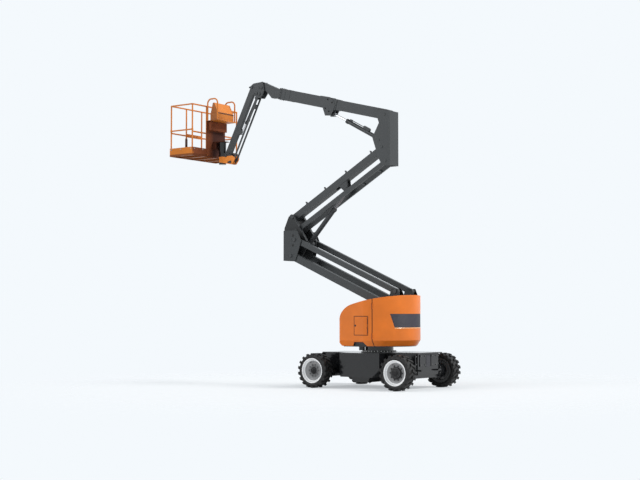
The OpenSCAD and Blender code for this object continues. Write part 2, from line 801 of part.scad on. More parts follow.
module boom_base() {
    sleeve_s = luff_s - 60;
    color([0.3, 0.31, 0.31]) at(pb, boom_deg) {
        difference() {
            union() {
                yrod([0, 0], base_h / 2, -base_half, base_half);
                translate([0, -base_half, -base_h / 2]) cube([base_len, 2 * base_half, base_h]);
                translate([sleeve_s, -base_half - 8, -base_h / 2 - 10])
                    cube([base_len - sleeve_s, 2 * base_half + 16, base_h + 20]);
                translate([base_len - 60, -base_half - 14, -base_h / 2 - 16])
                    cube([60, 2 * base_half + 28, base_h + 32]);
                both_sides() xz_plate([for (q = [[263, -146], [174, -276], [28, -253], [-14, -146],
                    [-34, -10], [46, 86],
                    [142, 136], [404, 130]]) [luff_s, 0] + q], base_half, base_half + 16);
            }
            translate([150, -base_half + 8, -base_h / 2 + 8]) cube([base_len, 2 * base_half - 16,
                base_h - 16]);
            yrod([0, 0], pin_r + pin_fit, -200, 200);
        }
        both_sides() xz_plate([[luff_s - 40, -base_h / 2 - 2], [luff_s + 150, -base_h / 2 - 2],
            [luff_s + 100, -luff_drop - 34], [luff_s - 40, -luff_drop - 34]], 42, 58);
    }
}

stow_s = 0.43 * base_len;
inner_half = base_half - 8 - 3;
inner_h = base_h - 16 - 6;
pad_half = base_half - 8 - face_fit;
pad_h = base_h - 16 - 2 * face_fit;

module boom_inner() {
    color([0.3, 0.31, 0.31]) at(pb, boom_deg) {
        difference() {
            union() {
                translate([stow_s, -inner_half, -inner_h / 2])
                    cube([base_len - stow_s + 130, 2 * inner_half, inner_h]);
                translate([stow_s + 10, -pad_half, -pad_h / 2]) cube([80, 2 * pad_half, pad_h]);
            }
            translate([stow_s - 50, 7 - inner_half, 7 - inner_h / 2])
                cube([base_len - stow_s + 50, 2 * inner_half - 14, inner_h - 14]);
        }
        difference() {
            union() {
                xz_plate([[base_len + 30, inner_h / 2 - 10], [base_len + 30, -inner_h / 2],
                    [neck_s - 330, -inner_h / 2 - 34],
                    [neck_s - 259, neck_up - 138], [neck_s - 95, neck_up - 38], [neck_s - 20, neck_up - 62],
                    [neck_s + 62, neck_up + 20], [neck_s + 15, neck_up + 132]], -58, 58);
                yrod([neck_s, neck_up], 66, -58, 58);
            }
            yrod([neck_s, neck_up], pin_r - 4 + pin_fit, -100, 100);
        }
    }
}

// jib

module jib_knuckle() {
    color([0.3, 0.31, 0.31]) {
        both_sides() xz_plate([for (q = [[-38, 133], [235, 118], [335, 55], [318, -20], [240, -124],
            [143, -214],
            [33, -231], [-39, -143], [-75, -71]]) n0 + q], jpost_in, jpost_out);
        for (p = [n0, j0, lug_root]) yrod(p, pin_r - 4, -jpost_out - 6, jpost_out + 6);
        yrod(e0, 22, -jib_half, jib_half);
        both_sides() {
            yrod(k0, pin_r - 4, jib_half + side_fit, jpost_out + 6);
            for (p = [lug_root, e0]) yrod(p, lug_r, jib_half - 10, jib_half);
            xz_plate([for (q = [[lug_root, 1], [e0, 1], [e0, -1], [lug_root, -1]])
                q[0] + q[1] * lug_r * lug_n], jib_half - 10, jib_half);
        }
    }
}

module jib_arm() {
    color([0.3, 0.31, 0.31]) at(j0, -jib_deg) {
        pin_bar(jib_len, jib_h, -jib_half, jib_half, 7, jib_h / 2, pin_r - 4 + pin_fit);
        both_sides() xz_plate([[0.62 * jib_len - 70, -jib_h / 2 + 10],
            [0.62 * jib_len + 90, -jib_h / 2 + 10],
            [0.62 * jib_len + 30, -jib_h / 2 - 100], [0.62 * jib_len - 30, -jib_h / 2 - 100]], 31, 42);
    }
}

module jib_links() {
    y0 = jib_half + side_fit;
    y1 = y0 + 20;
    top = jib_link_h / 2 - link_crank;
    low = -jib_link_h / 2 - link_crank;
    color([0.3, 0.31, 0.31]) at(k0, -jib_deg) both_sides() difference() {
        union() {
            for (x = [0, jib_len]) yrod([x, 0], 42, y0, y1);
            xz_plate([[10, 40], [140, top], [jib_len - 140, top], [jib_len - 10, 40],
                [jib_len + 10, -40], [jib_len - 120, low], [120, low], [-10, -40]], y0, y1);
        }
        for (x = [0, jib_len]) yrod([x, 0], pin_r - 4 + pin_fit, y0 - 1, y1 + 1);
    }
}

jcyl_len = span(e0, e1);
jcyl_deg = deg_of(e0, e1);

module jib_barrel() {
    color([0.26, 0.27, 0.28]) at(e0, jcyl_deg) barrel(0.74 * jcyl_len, 27, 16, 54, 36, 22 + pin_fit);
}

module jib_rod() {
    color([0.75, 0.76, 0.78]) at(e1, jcyl_deg) rod(0.872 * jcyl_len, 16, 54, 32);
}

module platform_head() {
    color([0.88, 0.45, 0.16]) difference() {
        union() {
            both_sides() xz_plate([[k1[0] - 120, k1[1] + 50], [k1[0] - 120, k1[1] + 108],
                [j1[0] - 70, j1[1] + 58],
                [j1[0] + 56, j1[1] + 58], [rot[0] + 30, j1[1] - 16], [rot[0] + 30, j1[1] - 140],
                [k1[0] + 20, k1[1] - 46], [k1[0] - 40, k1[1] - 46]], jpost_in, jpost_out);
            translate([j1[0] + jib_h / 2 + 8, -jpost_out, j1[1] - 140])
                cube([rotator_dx - jib_h / 2 + 22, 2 * jpost_out, 124]);
            yrod(j1, pin_r - 4, -jpost_out - 6, jpost_out + 6);
            both_sides() yrod(k1, pin_r - 4, jib_half + side_fit, jpost_out + 6);
        }
        translate([rot[0], 0, rot_z0 - 1]) cylinder(h = rot_h + 2, r = rotator_r + pin_fit);
        translate([rot[0], 0, j1[1] - 16]) cylinder(h = rot_h, r = rotator_r + collar_w + pin_fit);
    }
}

module rotator() {
    color([0.24, 0.25, 0.26]) {
        translate([rot[0], 0, rot_z0]) cylinder(h = rot_h, r = rotator_r);
        translate([rot[0], 0, j1[1] - 16 + face_fit]) cylinder(h = 40, r = rotator_r + collar_w);
    }
}

// platform

module xtube(p, len) { translate(p) rotate([0, 90, 0]) cylinder(h = len, r = rr); }
module ytube(p, len) { translate(p) rotate([-90, 0, 0]) cylinder(h = len, r = rr); }
module ztube(p, len) { translate(p) cylinder(h = len, r = rr); }

post_x0 = plat_x0 + rr + 6;
post_x1 = plat_x1 - rr - 6;
post_y = half_w - rr - 6;
floor_top = plat_z0 + floor_t;
side_len = post_x1 - post_x0 - rail_d - 2 * face_fit;
tray_z = rail_top - 345;
tray_half = 300;
guard_top = rail_top + 160;
guard_bend = 105;

module platform_base() {
    color([0.88, 0.45, 0.16]) {
        translate([plat_x0, -half_w, floor_top - 4]) cube([plat_d, plat_w, 4]);
        for (y = [-half_w, half_w - 5]) translate([plat_x0, y, plat_z0]) cube([plat_d, 5, toe_h]);
        for (x = [plat_x0, plat_x1 - 5]) translate([x, -half_w, plat_z0]) cube([5, plat_w, toe_h]);
        for (y = [-0.5, 0, 0.5]) translate([plat_x0 + 2, y * half_w - 20, plat_z0])
            cube([plat_d - 4, 40, floor_t - 2]);
        translate([rot[0] - 110, -110, rot_top + face_fit]) cube([plat_x0 - rot[0] + 112, 220, 16]);
        both_sides() translate([rot[0] + rotator_r + 20, 96, rot_top - 160])
            cube([plat_x0 - rot[0] - rotator_r - 22, 14, 170]);
        translate([plat_x0 - 8, -tray_half - 30, plat_z0 + 2])
            cube([9, 2 * tray_half + 60, tray_z - plat_z0 - 2 - face_fit]);
        difference() {
            translate([plat_x0 - 105, -tray_half + 20, tray_z - 210]) cube([98, 2 * tray_half - 40, 200]);
            translate([plat_x0 - 101, -tray_half + 24, tray_z - 206]) cube([93, 2 * tray_half - 48, 192]);
        }
    }
}

module rail_panel_y(x, posts) {
    for (y = posts) ztube([x, y, floor_top], rail_top - floor_top);
    for (z = [mid_z, rail_top]) ytube([x, -post_y, z], 2 * post_y);
    for (y = [-post_y, post_y]) translate([x, y, rail_top]) sphere(r = rr);
}

module rails_front() {
    color([0.88, 0.45, 0.16]) rail_panel_y(post_x1, [-post_y, -half_w / 3, half_w / 3, post_y]);
}

module rails_rear() {
    color([0.88, 0.45, 0.16]) rail_panel_y(post_x0, [-post_y, -tray_half, tray_half, post_y]);
}

module rails_left() {
    color([0.88, 0.45, 0.16]) xtube([post_x0 + rr + face_fit, post_y, rail_top], side_len);
}

module rails_right() {
    color([0.88, 0.45, 0.16]) for (z = [mid_z, rail_top]) xtube([post_x0 + rr + face_fit, -post_y,
        z], side_len);
}

module entry_bar() {
    color([0.88, 0.45, 0.16]) difference() {
        union() {
            xtube([post_x0, post_y, mid_z + 48], post_x1 - post_x0);
            for (x = [post_x0, post_x1]) translate([x, post_y, mid_z + rr + 6])
                cylinder(h = 50, r = rr + 6);
        }
        for (x = [post_x0, post_x1]) translate([x, post_y, mid_z]) cylinder(h = 200, r = rr + pin_fit);
    }
}

// box with walls, seated on the tray, under a shield that leans towards the platform
module control_console() {
    back = plat_x0 - 300;
    box_z = tray_z + 180;
    color([0.88, 0.45, 0.16]) {
        translate([back - 38, -tray_half - 28, tray_z]) cube([344 - face_fit, 2 * tray_half + 56, 10]);
        difference() {
            translate([back, -tray_half + 14, tray_z + 9]) cube([215, 2 * tray_half - 28,
                box_z - tray_z - 9]);
            translate([back + 3, -tray_half + 17, tray_z + 5])
                cube([209, 2 * tray_half - 34, box_z - tray_z - 8]);
        }
        difference() {
            xz_plate([[back - 8, box_z - 2], [back + 215, box_z - 2], [back + 150, box_z + 235],
                [back + 110, box_z + 240]],
                -tray_half + 22, tray_half - 22);
            xz_plate([[back, box_z + 1], [back + 208, box_z + 1], [back + 145, box_z + 230],
                [back + 114, box_z + 234]],
                -tray_half + 26, tray_half - 26);
        }
    }
}

// quarter bend of a rail tube in the x-z plane, from +X towards +Z about a centre
module bend(p, r, turn) {
    translate(p) rotate([90, 0, 0]) rotate([0, 0, turn]) rotate_extrude(angle = 90, $fn = 48)
        translate([r, 0]) circle(r = rr, $fn = 24);
}

module console_guard() {
    x0 = plat_x0 - 318;
    x1 = plat_x0 - 20;
    r = guard_bend;
    y = tray_half + 8;
    color([0.88, 0.45, 0.16]) both_sides() {
        for (x = [x0, x1]) ztube([x, y, tray_z + 10], guard_top - r - tray_z - 10);
        xtube([x0 + r, y, guard_top], x1 - x0 - 2 * r);
        bend([x1 - r, y, guard_top - r], r, 0);
        bend([x0 + r, y, guard_top - r], r, 90);
    }
}

chassis_frame();
front_axle();
rear_axle();
slew_bearing();
knuckle_left();
knuckle_right();
tyre_fl();
tyre_fr();
tyre_rl();
tyre_rr();
rim_fl();
rim_fr();
rim_rl();
rim_rr();
turntable_frame();
counterweight();
battery_block();
tail_cover();
tail_vent();
side_cover_left();
side_cover_right();
control_door();
lower_arms();
tension_links();
knee_upright();
riser_barrel();
riser_rod();
upper_arm();
lower_bars();
mast_upright();
boom_barrel();
boom_rod();
boom_base();
boom_inner();
jib_knuckle();
jib_arm();
jib_links();
jib_barrel();
jib_rod();
platform_head();
rotator();
platform_base();
rails_front();
rails_rear();
rails_left();
rails_right();
control_console();
console_guard();
entry_bar();
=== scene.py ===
import json
import math

import bmesh
import bpy
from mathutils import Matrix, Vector


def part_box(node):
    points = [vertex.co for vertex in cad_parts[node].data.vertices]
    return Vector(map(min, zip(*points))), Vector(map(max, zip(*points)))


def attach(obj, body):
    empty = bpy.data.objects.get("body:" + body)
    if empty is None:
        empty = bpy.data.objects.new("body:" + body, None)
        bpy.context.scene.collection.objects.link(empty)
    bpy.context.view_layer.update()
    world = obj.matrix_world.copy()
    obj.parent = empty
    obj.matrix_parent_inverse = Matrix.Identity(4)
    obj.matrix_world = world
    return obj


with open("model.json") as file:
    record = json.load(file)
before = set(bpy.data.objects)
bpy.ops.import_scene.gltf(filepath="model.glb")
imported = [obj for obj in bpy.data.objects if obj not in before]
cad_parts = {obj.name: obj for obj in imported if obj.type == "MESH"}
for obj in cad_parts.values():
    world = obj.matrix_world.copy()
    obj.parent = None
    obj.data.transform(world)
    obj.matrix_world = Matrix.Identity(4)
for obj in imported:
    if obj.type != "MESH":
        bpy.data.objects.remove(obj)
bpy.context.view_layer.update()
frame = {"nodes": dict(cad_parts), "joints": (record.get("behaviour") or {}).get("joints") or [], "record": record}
nodes = frame["nodes"]
joints = {j["name"]: j for j in frame["joints"]}
slot_of = {part["node"]: part["material_slot"] for part in frame["record"]["subparts"]}
SIDES = (-1, 1)


# shader nodes

class Tone:
    """A shader socket that takes part in Python arithmetic."""

    def __init__(self, shading, socket):
        self.shading = shading
        self.socket = socket

    def maths(self, operation, *others):
        return self.shading.node("ShaderNodeMath", {"operation": operation},
                                 dict(enumerate((self,) + others)))

    def __add__(self, other):
        return self.maths("ADD", other)

    def __sub__(self, other):
        return self.maths("SUBTRACT", other)

    def __mul__(self, other):
        return self.maths("MULTIPLY", other)

    def __pow__(self, other):
        return self.maths("POWER", other)

    def __lt__(self, other):
        return self.maths("LESS_THAN", other)

    def __gt__(self, other):
        return self.maths("GREATER_THAN", other)

    __radd__ = __add__
    __rmul__ = __mul__

    def __rsub__(self, other):
        return self.shading.node("ShaderNodeMath", {"operation": "SUBTRACT"}, {0: other, 1: self})

    def abs(self):
        return self.maths("ABSOLUTE")

    def larger(self, other):
        return self.maths("MAXIMUM", other)

    def band(self, low, high):
        """0 below low, 1 above high, smooth between."""
        return self.shading.node("ShaderNodeMapRange", {"interpolation_type": "SMOOTHSTEP", "clamp": True},
                                 {"Value": self, "From Min": low, "From Max": high})


class Shading:
    """The nodes of one material or world."""

    def __init__(self, tree):
        self.tree = tree
        self.tree.nodes.clear()

    def fill(self, socket, value):
        if isinstance(value, Tone):
            self.tree.links.new(value.socket, socket)
        elif isinstance(value, (tuple, list)) and len(value) == 3 and socket.type == "RGBA":
            socket.default_value = (*value, 1.0)
        else:
            socket.default_value = value

    def node(self, kind, settings=None, sockets=None, out=0):
        """Adds a node by its type, settings and sockets, and gives one of its outputs if it has any."""
        made = self.tree.nodes.new(kind)
        for key, value in (settings or {}).items():
            setattr(made, key, value)
        for key, value in (sockets or {}).items():
            self.fill(made.inputs[key], value)
        return Tone(self, made.outputs[out]) if made.outputs else None

    def ray(self, kind):
        return self.node("ShaderNodeLightPath", out=f"Is {kind} Ray")


class Finish(Shading):
    """A material with one Principled shader."""

    def __init__(self, name, colour, roughness, metallic=0.0, **fixed):
        self.material = bpy.data.materials.new(name)
        self.material.use_nodes = True
        super().__init__(self.material.node_tree)
        self.shader = self.tree.nodes.new("ShaderNodeBsdfPrincipled")
        self.output = self.tree.nodes.new("ShaderNodeOutputMaterial")
        self.show(Tone(self, self.shader.outputs[0]))
        self.put("Base Color", colour)
        self.put("Roughness", roughness)
        self.put("Metallic", metallic)
        for key, value in fixed.items():
            self.put(key.replace("_", " "), value)
        self.material.diffuse_color = (*colour, 1.0)

    def show(self, surface):
        self.fill(self.output.inputs["Surface"], surface)

    def put(self, socket, value):
        self.fill(self.shader.inputs[socket], value)

    def place(self):
        return self.node("ShaderNodeTexCoord", out="Object")

    def axis(self, which, place=None):
        return self.node("ShaderNodeSeparateXYZ", None, {0: place or self.place()}, out=which)

    def noise(self, scale, detail=4.0, roughness=0.55, stretch=None):
        place = self.place()
        if stretch:
            place = self.node("ShaderNodeVectorMath", {"operation": "MULTIPLY"}, {0: place, 1: stretch})
        return self.node("ShaderNodeTexNoise", None,
                         {"Vector": place, "Scale": scale, "Detail": detail, "Roughness": roughness})

    def mix(self, factor, first, second):
        return self.node("ShaderNodeMix", {"data_type": "RGBA"}, {0: factor, 6: first, 7: second}, out=2)

    def edge(self, radius=0.006):
        """Near 1 on sharp edges, from the difference of a rounded normal and the true one."""
        soft = self.node("ShaderNodeBevel", {"samples": 4}, {"Radius": radius})
        true = self.node("ShaderNodeNewGeometry", out="Normal")
        dot = self.node("ShaderNodeVectorMath", {"operation": "DOT_PRODUCT"}, {0: soft, 1: true},
                        out="Value")
        return (1.0 - dot).band(0.02, 0.25)

    def bump(self, height, strength, distance=0.002):
        self.put("Normal", self.node("ShaderNodeBump", None,
                                     {"Strength": strength, "Distance": distance, "Height": height}))

    def blotches(self, cloud, colour, dark=0.9, light=1.08):
        """A colour that drifts between a darker and a lighter shade."""
        return self.mix(cloud.band(0.3, 0.75), shade(colour, dark), shade(colour, light))

    def orange_peel(self, cloud):
        """The faint ripple of sprayed paint."""
        self.bump(self.noise(260.0, 2.0) * 0.5 + cloud * 0.5, 0.06)

    def specks(self):
        return self.noise(38.0, 5.0, 0.65)


def shade(colour, factor):
    return tuple(min(1.0, c * factor) for c in colour)


# finishes

ORANGE = (0.70, 0.168, 0.014)
PLATFORM_ORANGE = (0.62, 0.19, 0.022)
# browns of the painted shade on the platform's rear panel and underside
PANEL_SHADE_BROWN = (0.19, 0.054, 0.021)
DEEP_PANEL_SHADE = (0.055, 0.018, 0.012)
# dark brown of the painted shadow lines in the hood's gaps
GAP_SHADOW_BROWN = (0.03, 0.012, 0.008)
BOOM_GREY = (0.036, 0.040, 0.0425)
WORN_GREY = (0.16, 0.17, 0.17)
FRAME_GREY = (0.007, 0.0075, 0.0085)
HUB_BLACK = (0.007, 0.007, 0.0075)
BARE_STEEL = (0.2, 0.2, 0.2)
DUST = (0.30, 0.27, 0.23)
TYRE_BLACK, TYRE_DUST = (0.012, 0.012, 0.0122), (0.06, 0.055, 0.05)
# the darkest dish colour is painted shade, laid on towards the hub
DISH_PAINTED_SHADE, DISH_SILVER, DISH_LIGHT = (0.07, 0.07, 0.072), (0.25, 0.252, 0.257), (0.34, 0.34, 0.345)
FLANGE_WHITE, FLANGE_DULL = (0.94, 0.945, 0.95), (0.6, 0.59, 0.58)
BRAKE_SOOT = (0.07, 0.065, 0.06)
# painted shade for the inner side of the wheels
INNER_WHEEL_PAINTED_SHADE = (0.012, 0.012, 0.0125)

PAINT_CLOUD = 1.7
PLATFORM_CLOUD = 2.2
FLANGE_START, FLANGE_FULL = 0.206, 0.212
# where the painted shade on the knee's inner plates fades out
KNEE_INNER, KNEE_OUTER = 0.26, 0.33
# widths of the painted shadow lines along the cover join and round the door
GAP_SHADOW_HALF, DOOR_SHADOW_OFF, DOOR_SHADOW_HALF = 0.0085, 0.0025, 0.0075
DOOR_SIDE = 0.5
# where the painted shade on the rear panel and the underside begins
PANEL_SHADOW, TOE_DROP = 0.24, 0.795


def painted(name, colour, roughness=0.42, dirt=0.1, wear=0.3, bare=BARE_STEEL, coat=0.1, gloss=0.35,
            coat_rough=0.2):
    """Sprayed paint: soft blotches, orange peel, streaks of dust and worn edges."""
    finish = Finish(name, colour, roughness, Coat_Weight=coat, Coat_Roughness=coat_rough,
                    Specular_IOR_Level=gloss)
    cloud = finish.noise(PAINT_CLOUD, 3.0)
    speck = finish.specks()
    streak = finish.noise(6.0, 4.0, 0.6, stretch=(3.0, 3.0, 0.35))
    grime = (streak.band(0.5, 0.85) * speck.band(0.35, 0.7)) * dirt
    tone = finish.mix(grime, finish.blotches(cloud, colour), DUST)
    rub = finish.edge() * speck.band(0.42, 0.62) * wear
    finish.put("Base Color", finish.mix(rub, tone, bare))
    finish.put("Roughness", roughness + cloud * 0.1 + grime * 0.4 - 0.05)
    finish.orange_peel(cloud)
    return finish.material


def rubber(name):
    """Tyre rubber with dry dust in its rougher patches."""
    finish = Finish(name, TYRE_BLACK, 0.62, Specular_IOR_Level=0.3)
    patch = finish.noise(9.0, 5.0, 0.6)
    grain = finish.noise(120.0, 4.0)
    powder = patch.band(0.42, 0.75) * grain.band(0.3, 0.7) * 0.25
    finish.put("Base Color", finish.mix(powder, TYRE_BLACK, TYRE_DUST))
    finish.put("Roughness", 0.56 + powder * 0.4)
    finish.bump(grain, 0.25, 0.001)
    return finish.material


def wheel_paint(name, hub, hub_radius):
    """White rim flange, silver dish and dark hub by distance from the axle, with brake dust; painted shade darkens
    the dish towards the hub and the inner side of each wheel.
    """
    finish = Finish(name, (0.5, 0.5, 0.51), 0.42, Coat_Weight=0.1, Specular_IOR_Level=0.4)
    place = finish.place()
    across = finish.axis("X", place) - hub[0]
    height = finish.axis("Z", place) - hub[2]
    radius = (across * across + height * height) ** 0.5
    speck = finish.noise(30.0, 5.0, 0.65)
    cloud = finish.noise(3.0, 3.0)
    # painted shade: the dish darkens from its rim towards the hub
    dish = finish.mix(radius.band(hub_radius, 0.2), DISH_PAINTED_SHADE, DISH_SILVER)
    dish = finish.mix(cloud.band(0.3, 0.7) * 0.3, dish, DISH_LIGHT)
    flange = finish.mix(speck.band(0.5, 0.75) * 0.2, FLANGE_WHITE, FLANGE_DULL)
    tone = finish.mix(radius.band(FLANGE_START, FLANGE_FULL), dish, flange)
    soot = speck.band(0.45, 0.75) * (1.0 - radius.band(0.1, 0.24)) * 0.5
    tone = finish.mix(soot, tone, BRAKE_SOOT)
    hub_tone = finish.mix(speck, HUB_BLACK, (0.015, 0.015, 0.0155))
    # painted shade: the inner side of each wheel is darkened
    inward = (finish.axis("Y", place) - hub[1]) * (-1.0 if hub[1] > 0 else 1.0)
    tone = finish.mix(inward.band(0.03, 0.06) * 0.93, tone, INNER_WHEEL_PAINTED_SHADE)
    finish.put("Base Color", finish.mix(radius < hub_radius, tone, hub_tone))
    finish.put("Roughness", 0.38 + soot * 0.5)
    finish.bump(speck, 0.05)
    return finish.material


def chrome(name, colour=(0.72, 0.73, 0.75), roughness=0.1):
    """Bare or plated metal with fine turning lines."""
    finish = Finish(name, colour, roughness, 1.0)
    lines = finish.noise(40.0, 3.0, 0.5, stretch=(1.0, 12.0, 1.0))
    finish.put("Roughness", roughness - 0.02 + lines.band(0.3, 0.8) * 0.12)
    finish.put("Base Color", finish.mix(lines, shade(colour, 0.86), shade(colour, 1.08)))
    return finish.material


def moulded(name, colour, roughness=0.55):
    """Grained plastic."""
    finish = Finish(name, colour, roughness)
    grain = finish.noise(170.0, 3.0)
    cloud = finish.noise(4.0, 3.0)
    finish.put("Base Color", finish.mix(cloud.band(0.3, 0.7), shade(colour, 0.85), shade(colour, 1.2)))
    finish.put("Roughness", roughness + grain * 0.15)
    finish.bump(grain, 0.2, 0.001)
    return finish.material


def knee_paint(name, colour):
    """Boom paint, with painted shade darkening the inner plates against the outer ones."""
    finish = Finish(name, colour, 0.5, Specular_IOR_Level=0.3, Coat_Weight=0.08, Coat_Roughness=0.2)
    depth = finish.axis("Y").abs()
    cloud = finish.noise(PAINT_CLOUD, 3.0)
    # painted shade: the inner plates darker than the outer ones
    inner = finish.blotches(cloud, colour, 0.4, 0.55)
    tone = finish.mix(depth.band(KNEE_INNER, KNEE_OUTER), inner, finish.blotches(cloud, colour))
    finish.put("Base Color", finish.mix(finish.edge() * 0.25, tone, WORN_GREY))
    finish.put("Roughness", 0.46 + cloud * 0.1)
    finish.orange_peel(cloud)
    return finish.material


def platform_paint(name, colour, panel_x, panel_top):
    """Orange paint, with painted shade in browns on the rear panel below the console and on the underside."""
    finish = Finish(name, colour, 0.42, Specular_IOR_Level=0.12, Coat_Roughness=0.2)
    place = finish.place()
    x, y, z = (finish.axis(which, place) for which in "XYZ")
    cloud = finish.noise(PLATFORM_CLOUD, 3.0)
    # painted shade: the rear panel under the console in browns, darkest near the middle
    panel_shade = finish.mix(y.band(0.05, 0.25), DEEP_PANEL_SHADE, PANEL_SHADE_BROWN)
    panel_shade = finish.mix(z.band(panel_top - PANEL_SHADOW, panel_top - PANEL_SHADOW + 0.04), panel_shade, PANEL_SHADE_BROWN)
    behind = 1.0 - x.band(panel_x + 0.001, panel_x + 0.003)
    tone = finish.mix(behind, finish.blotches(cloud, colour), panel_shade)
    # painted shade: darker brown on the underside
    under = 1.0 - z.band(panel_top - TOE_DROP, panel_top - TOE_DROP + 0.01)
    tone = finish.mix(under * 0.8, tone, shade(PANEL_SHADE_BROWN, 0.6))
    rub = finish.edge(0.004) * finish.specks().band(0.4, 0.7) * 0.35
    finish.put("Base Color", finish.mix(rub, tone, shade(colour, 1.25)))
    finish.put("Coat Weight", (1.0 - behind) * 0.1)
    finish.put("Roughness", 0.4 + cloud * 0.1 + behind * 0.2)
    finish.orange_peel(cloud)
    return finish.material


def head_paint(name, colour, upper, split, shaded_side_y=None):
    """Orange paint with a second tone above a height, and painted shade on the left side beyond a given y if
    asked; on the console the two tones are darker and lighter copies of one orange, painted shade and painted
    light.
    """
    finish = Finish(name, colour, 0.44, Specular_IOR_Level=0.3, Coat_Weight=0.08, Coat_Roughness=0.2)
    cloud = finish.noise(PLATFORM_CLOUD, 3.0)
    above = finish.axis("Z").band(split - 0.001, split + 0.001)
    tone = finish.mix(above, finish.blotches(cloud, colour), upper)
    if shaded_side_y is not None:
        # painted shade: the left side darker
        tone = finish.mix(finish.axis("Y").band(shaded_side_y - 0.002, shaded_side_y), tone, shade(colour, 0.62))
    rub = finish.edge(0.004) * finish.specks().band(0.4, 0.7) * 0.3
    finish.put("Base Color", finish.mix(rub, tone, shade(colour, 0.8)))
    finish.put("Roughness", 0.42 + cloud * 0.1)
    finish.orange_peel(cloud)
    return finish.material


def hood_paint(name, colour, seam_x, door_low, door_high):
    """Glossy cover paint, with a painted shadow line along the cover join and round the door's opening."""
    finish = Finish(name, colour, 0.4, Specular_IOR_Level=0.3, Coat_Weight=0.1, Coat_Roughness=0.2)
    place = finish.place()
    x, y, z = (finish.axis(which, place) for which in "XYZ")
    cloud = finish.noise(PAINT_CLOUD, 3.0)
    rub = finish.edge() * finish.specks().band(0.42, 0.62) * 0.12
    tone = finish.mix(rub, finish.blotches(cloud, colour), shade(colour, 1.2))
    centre = (door_low + door_high) / 2
    reach = (door_high - door_low) / 2
    off = ((x - centre.x).abs() - reach.x).larger((z - centre.z).abs() - reach.z)
    # painted shadow: dark lines along the cover join and round the door's gap
    door_gap_shadow = ((off - DOOR_SHADOW_OFF).abs() < DOOR_SHADOW_HALF) * (y > DOOR_SIDE)
    gap_shadow = ((x - seam_x).abs() < GAP_SHADOW_HALF).larger(door_gap_shadow)
    finish.put("Base Color", finish.mix(gap_shadow * 0.85, tone, GAP_SHADOW_BROWN))
    finish.put("Roughness", 0.35 + cloud * 0.1)
    finish.orange_peel(cloud)
    return finish.material


HUB_RADIUS = {"f": 0.064, "r": 0.1}
SEAM_X = joints["cover_left_hinge"]["pos_m"][0]
CONSOLE_LOW, CONSOLE_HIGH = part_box("control_console")
REAR_PANEL_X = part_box("rails_rear")[0].x - 0.006
HEAD_SPLIT = joints["head_pivot"]["pos_m"][2] - 0.012
# height and side where the console's painted light and painted shade change
SHIELD_SPLIT = CONSOLE_LOW.z + 0.18
SHADED_SIDE_Y = CONSOLE_HIGH.y - 0.056


def hub_of(corner):
    return joints["wheel_" + corner]["pos_m"]


def platform_painted(name, factor, bare_factor):
    """The platform's orange at a brightness, worn to another."""
    return painted(name, shade(PLATFORM_ORANGE, factor), dirt=0.04, wear=0.2,
                   bare=shade(PLATFORM_ORANGE, bare_factor), gloss=0.3)


FINISH = {
    "chassis_paint": painted("chassis_paint", FRAME_GREY, 0.5, dirt=0.03, coat=1.0, gloss=0.0,
                             coat_rough=0.14),
    "cast_weight": painted("cast_weight", (0.03, 0.03, 0.032), 0.6, dirt=0.2),
    "battery_case": moulded("battery_case", (0.05, 0.05, 0.055)),
    "tyre": rubber("tyre"),
    "orange_cover": painted("orange_cover", ORANGE, 0.4, dirt=0.03, wear=0.12, bare=shade(ORANGE, 1.2),
                            gloss=0.3),
    "vent": moulded("vent", (0.014, 0.012, 0.024), 0.5),
    "boom_paint": painted("boom_paint", BOOM_GREY, 0.5, dirt=0.06),
    "cylinder_paint": painted("cylinder_paint", (0.03, 0.033, 0.036), 0.45, dirt=0.06),
    "chrome_rod": chrome("chrome_rod"),
    "orange_paint": platform_painted("orange_paint", 1.0, 1.2),
    "console_case": platform_painted("console_case", 1.06, 1.25),
    "floor_grip": painted("floor_grip", shade(PLATFORM_ORANGE, 0.8), 0.5, dirt=0.2),
}
# dark brown of the post sleeves, also used for the console's painted shadow strip
BROWN_PLASTIC_AND_SHADOW_STRIP = painted("brown_sleeve", (0.07, 0.022, 0.012), 0.5, dirt=0.05, wear=0.1)
HUB_PAINT = painted("hub_black", HUB_BLACK, 0.6, dirt=0.04, wear=0.1, gloss=0.25)
# a lighter copy of the platform orange, painted light on a plate that sits in shadow
MID_PLATE_PAINTED_LIGHT = painted("mid_plate", shade(PLATFORM_ORANGE, 1.25), dirt=0.04, wear=0.1, gloss=0.3)
AXLE_PANEL_PAINT = painted("axle_panel", (0.026, 0.026, 0.032), 0.5, dirt=0.05, wear=0.1)
# pale orange under a clear coat, a painted highlight on the vent's sill
SILL_PAINTED_HIGHLIGHT = painted("bright_lip", (0.95, 0.50, 0.20), 0.3, dirt=0.02, wear=0.05, coat=1.0, coat_rough=0.1)
DULL_NUTS = painted("dull_nuts", (0.13, 0.13, 0.133), 0.4, wear=0.2)
STOP_RED = moulded("stop_red", (0.42, 0.012, 0.008), 0.35)
DARK_STEEL = painted("pin_steel", (0.030, 0.031, 0.033), 0.4, dirt=0.15, wear=0.4)
ZINC = chrome("zinc_bolts", (0.42, 0.42, 0.41), 0.34)
BLACK = moulded("black_plastic", (0.012, 0.012, 0.013), 0.5)
SEAL_RUBBER = moulded("seal_rubber", (0.011, 0.011, 0.012), 0.6)

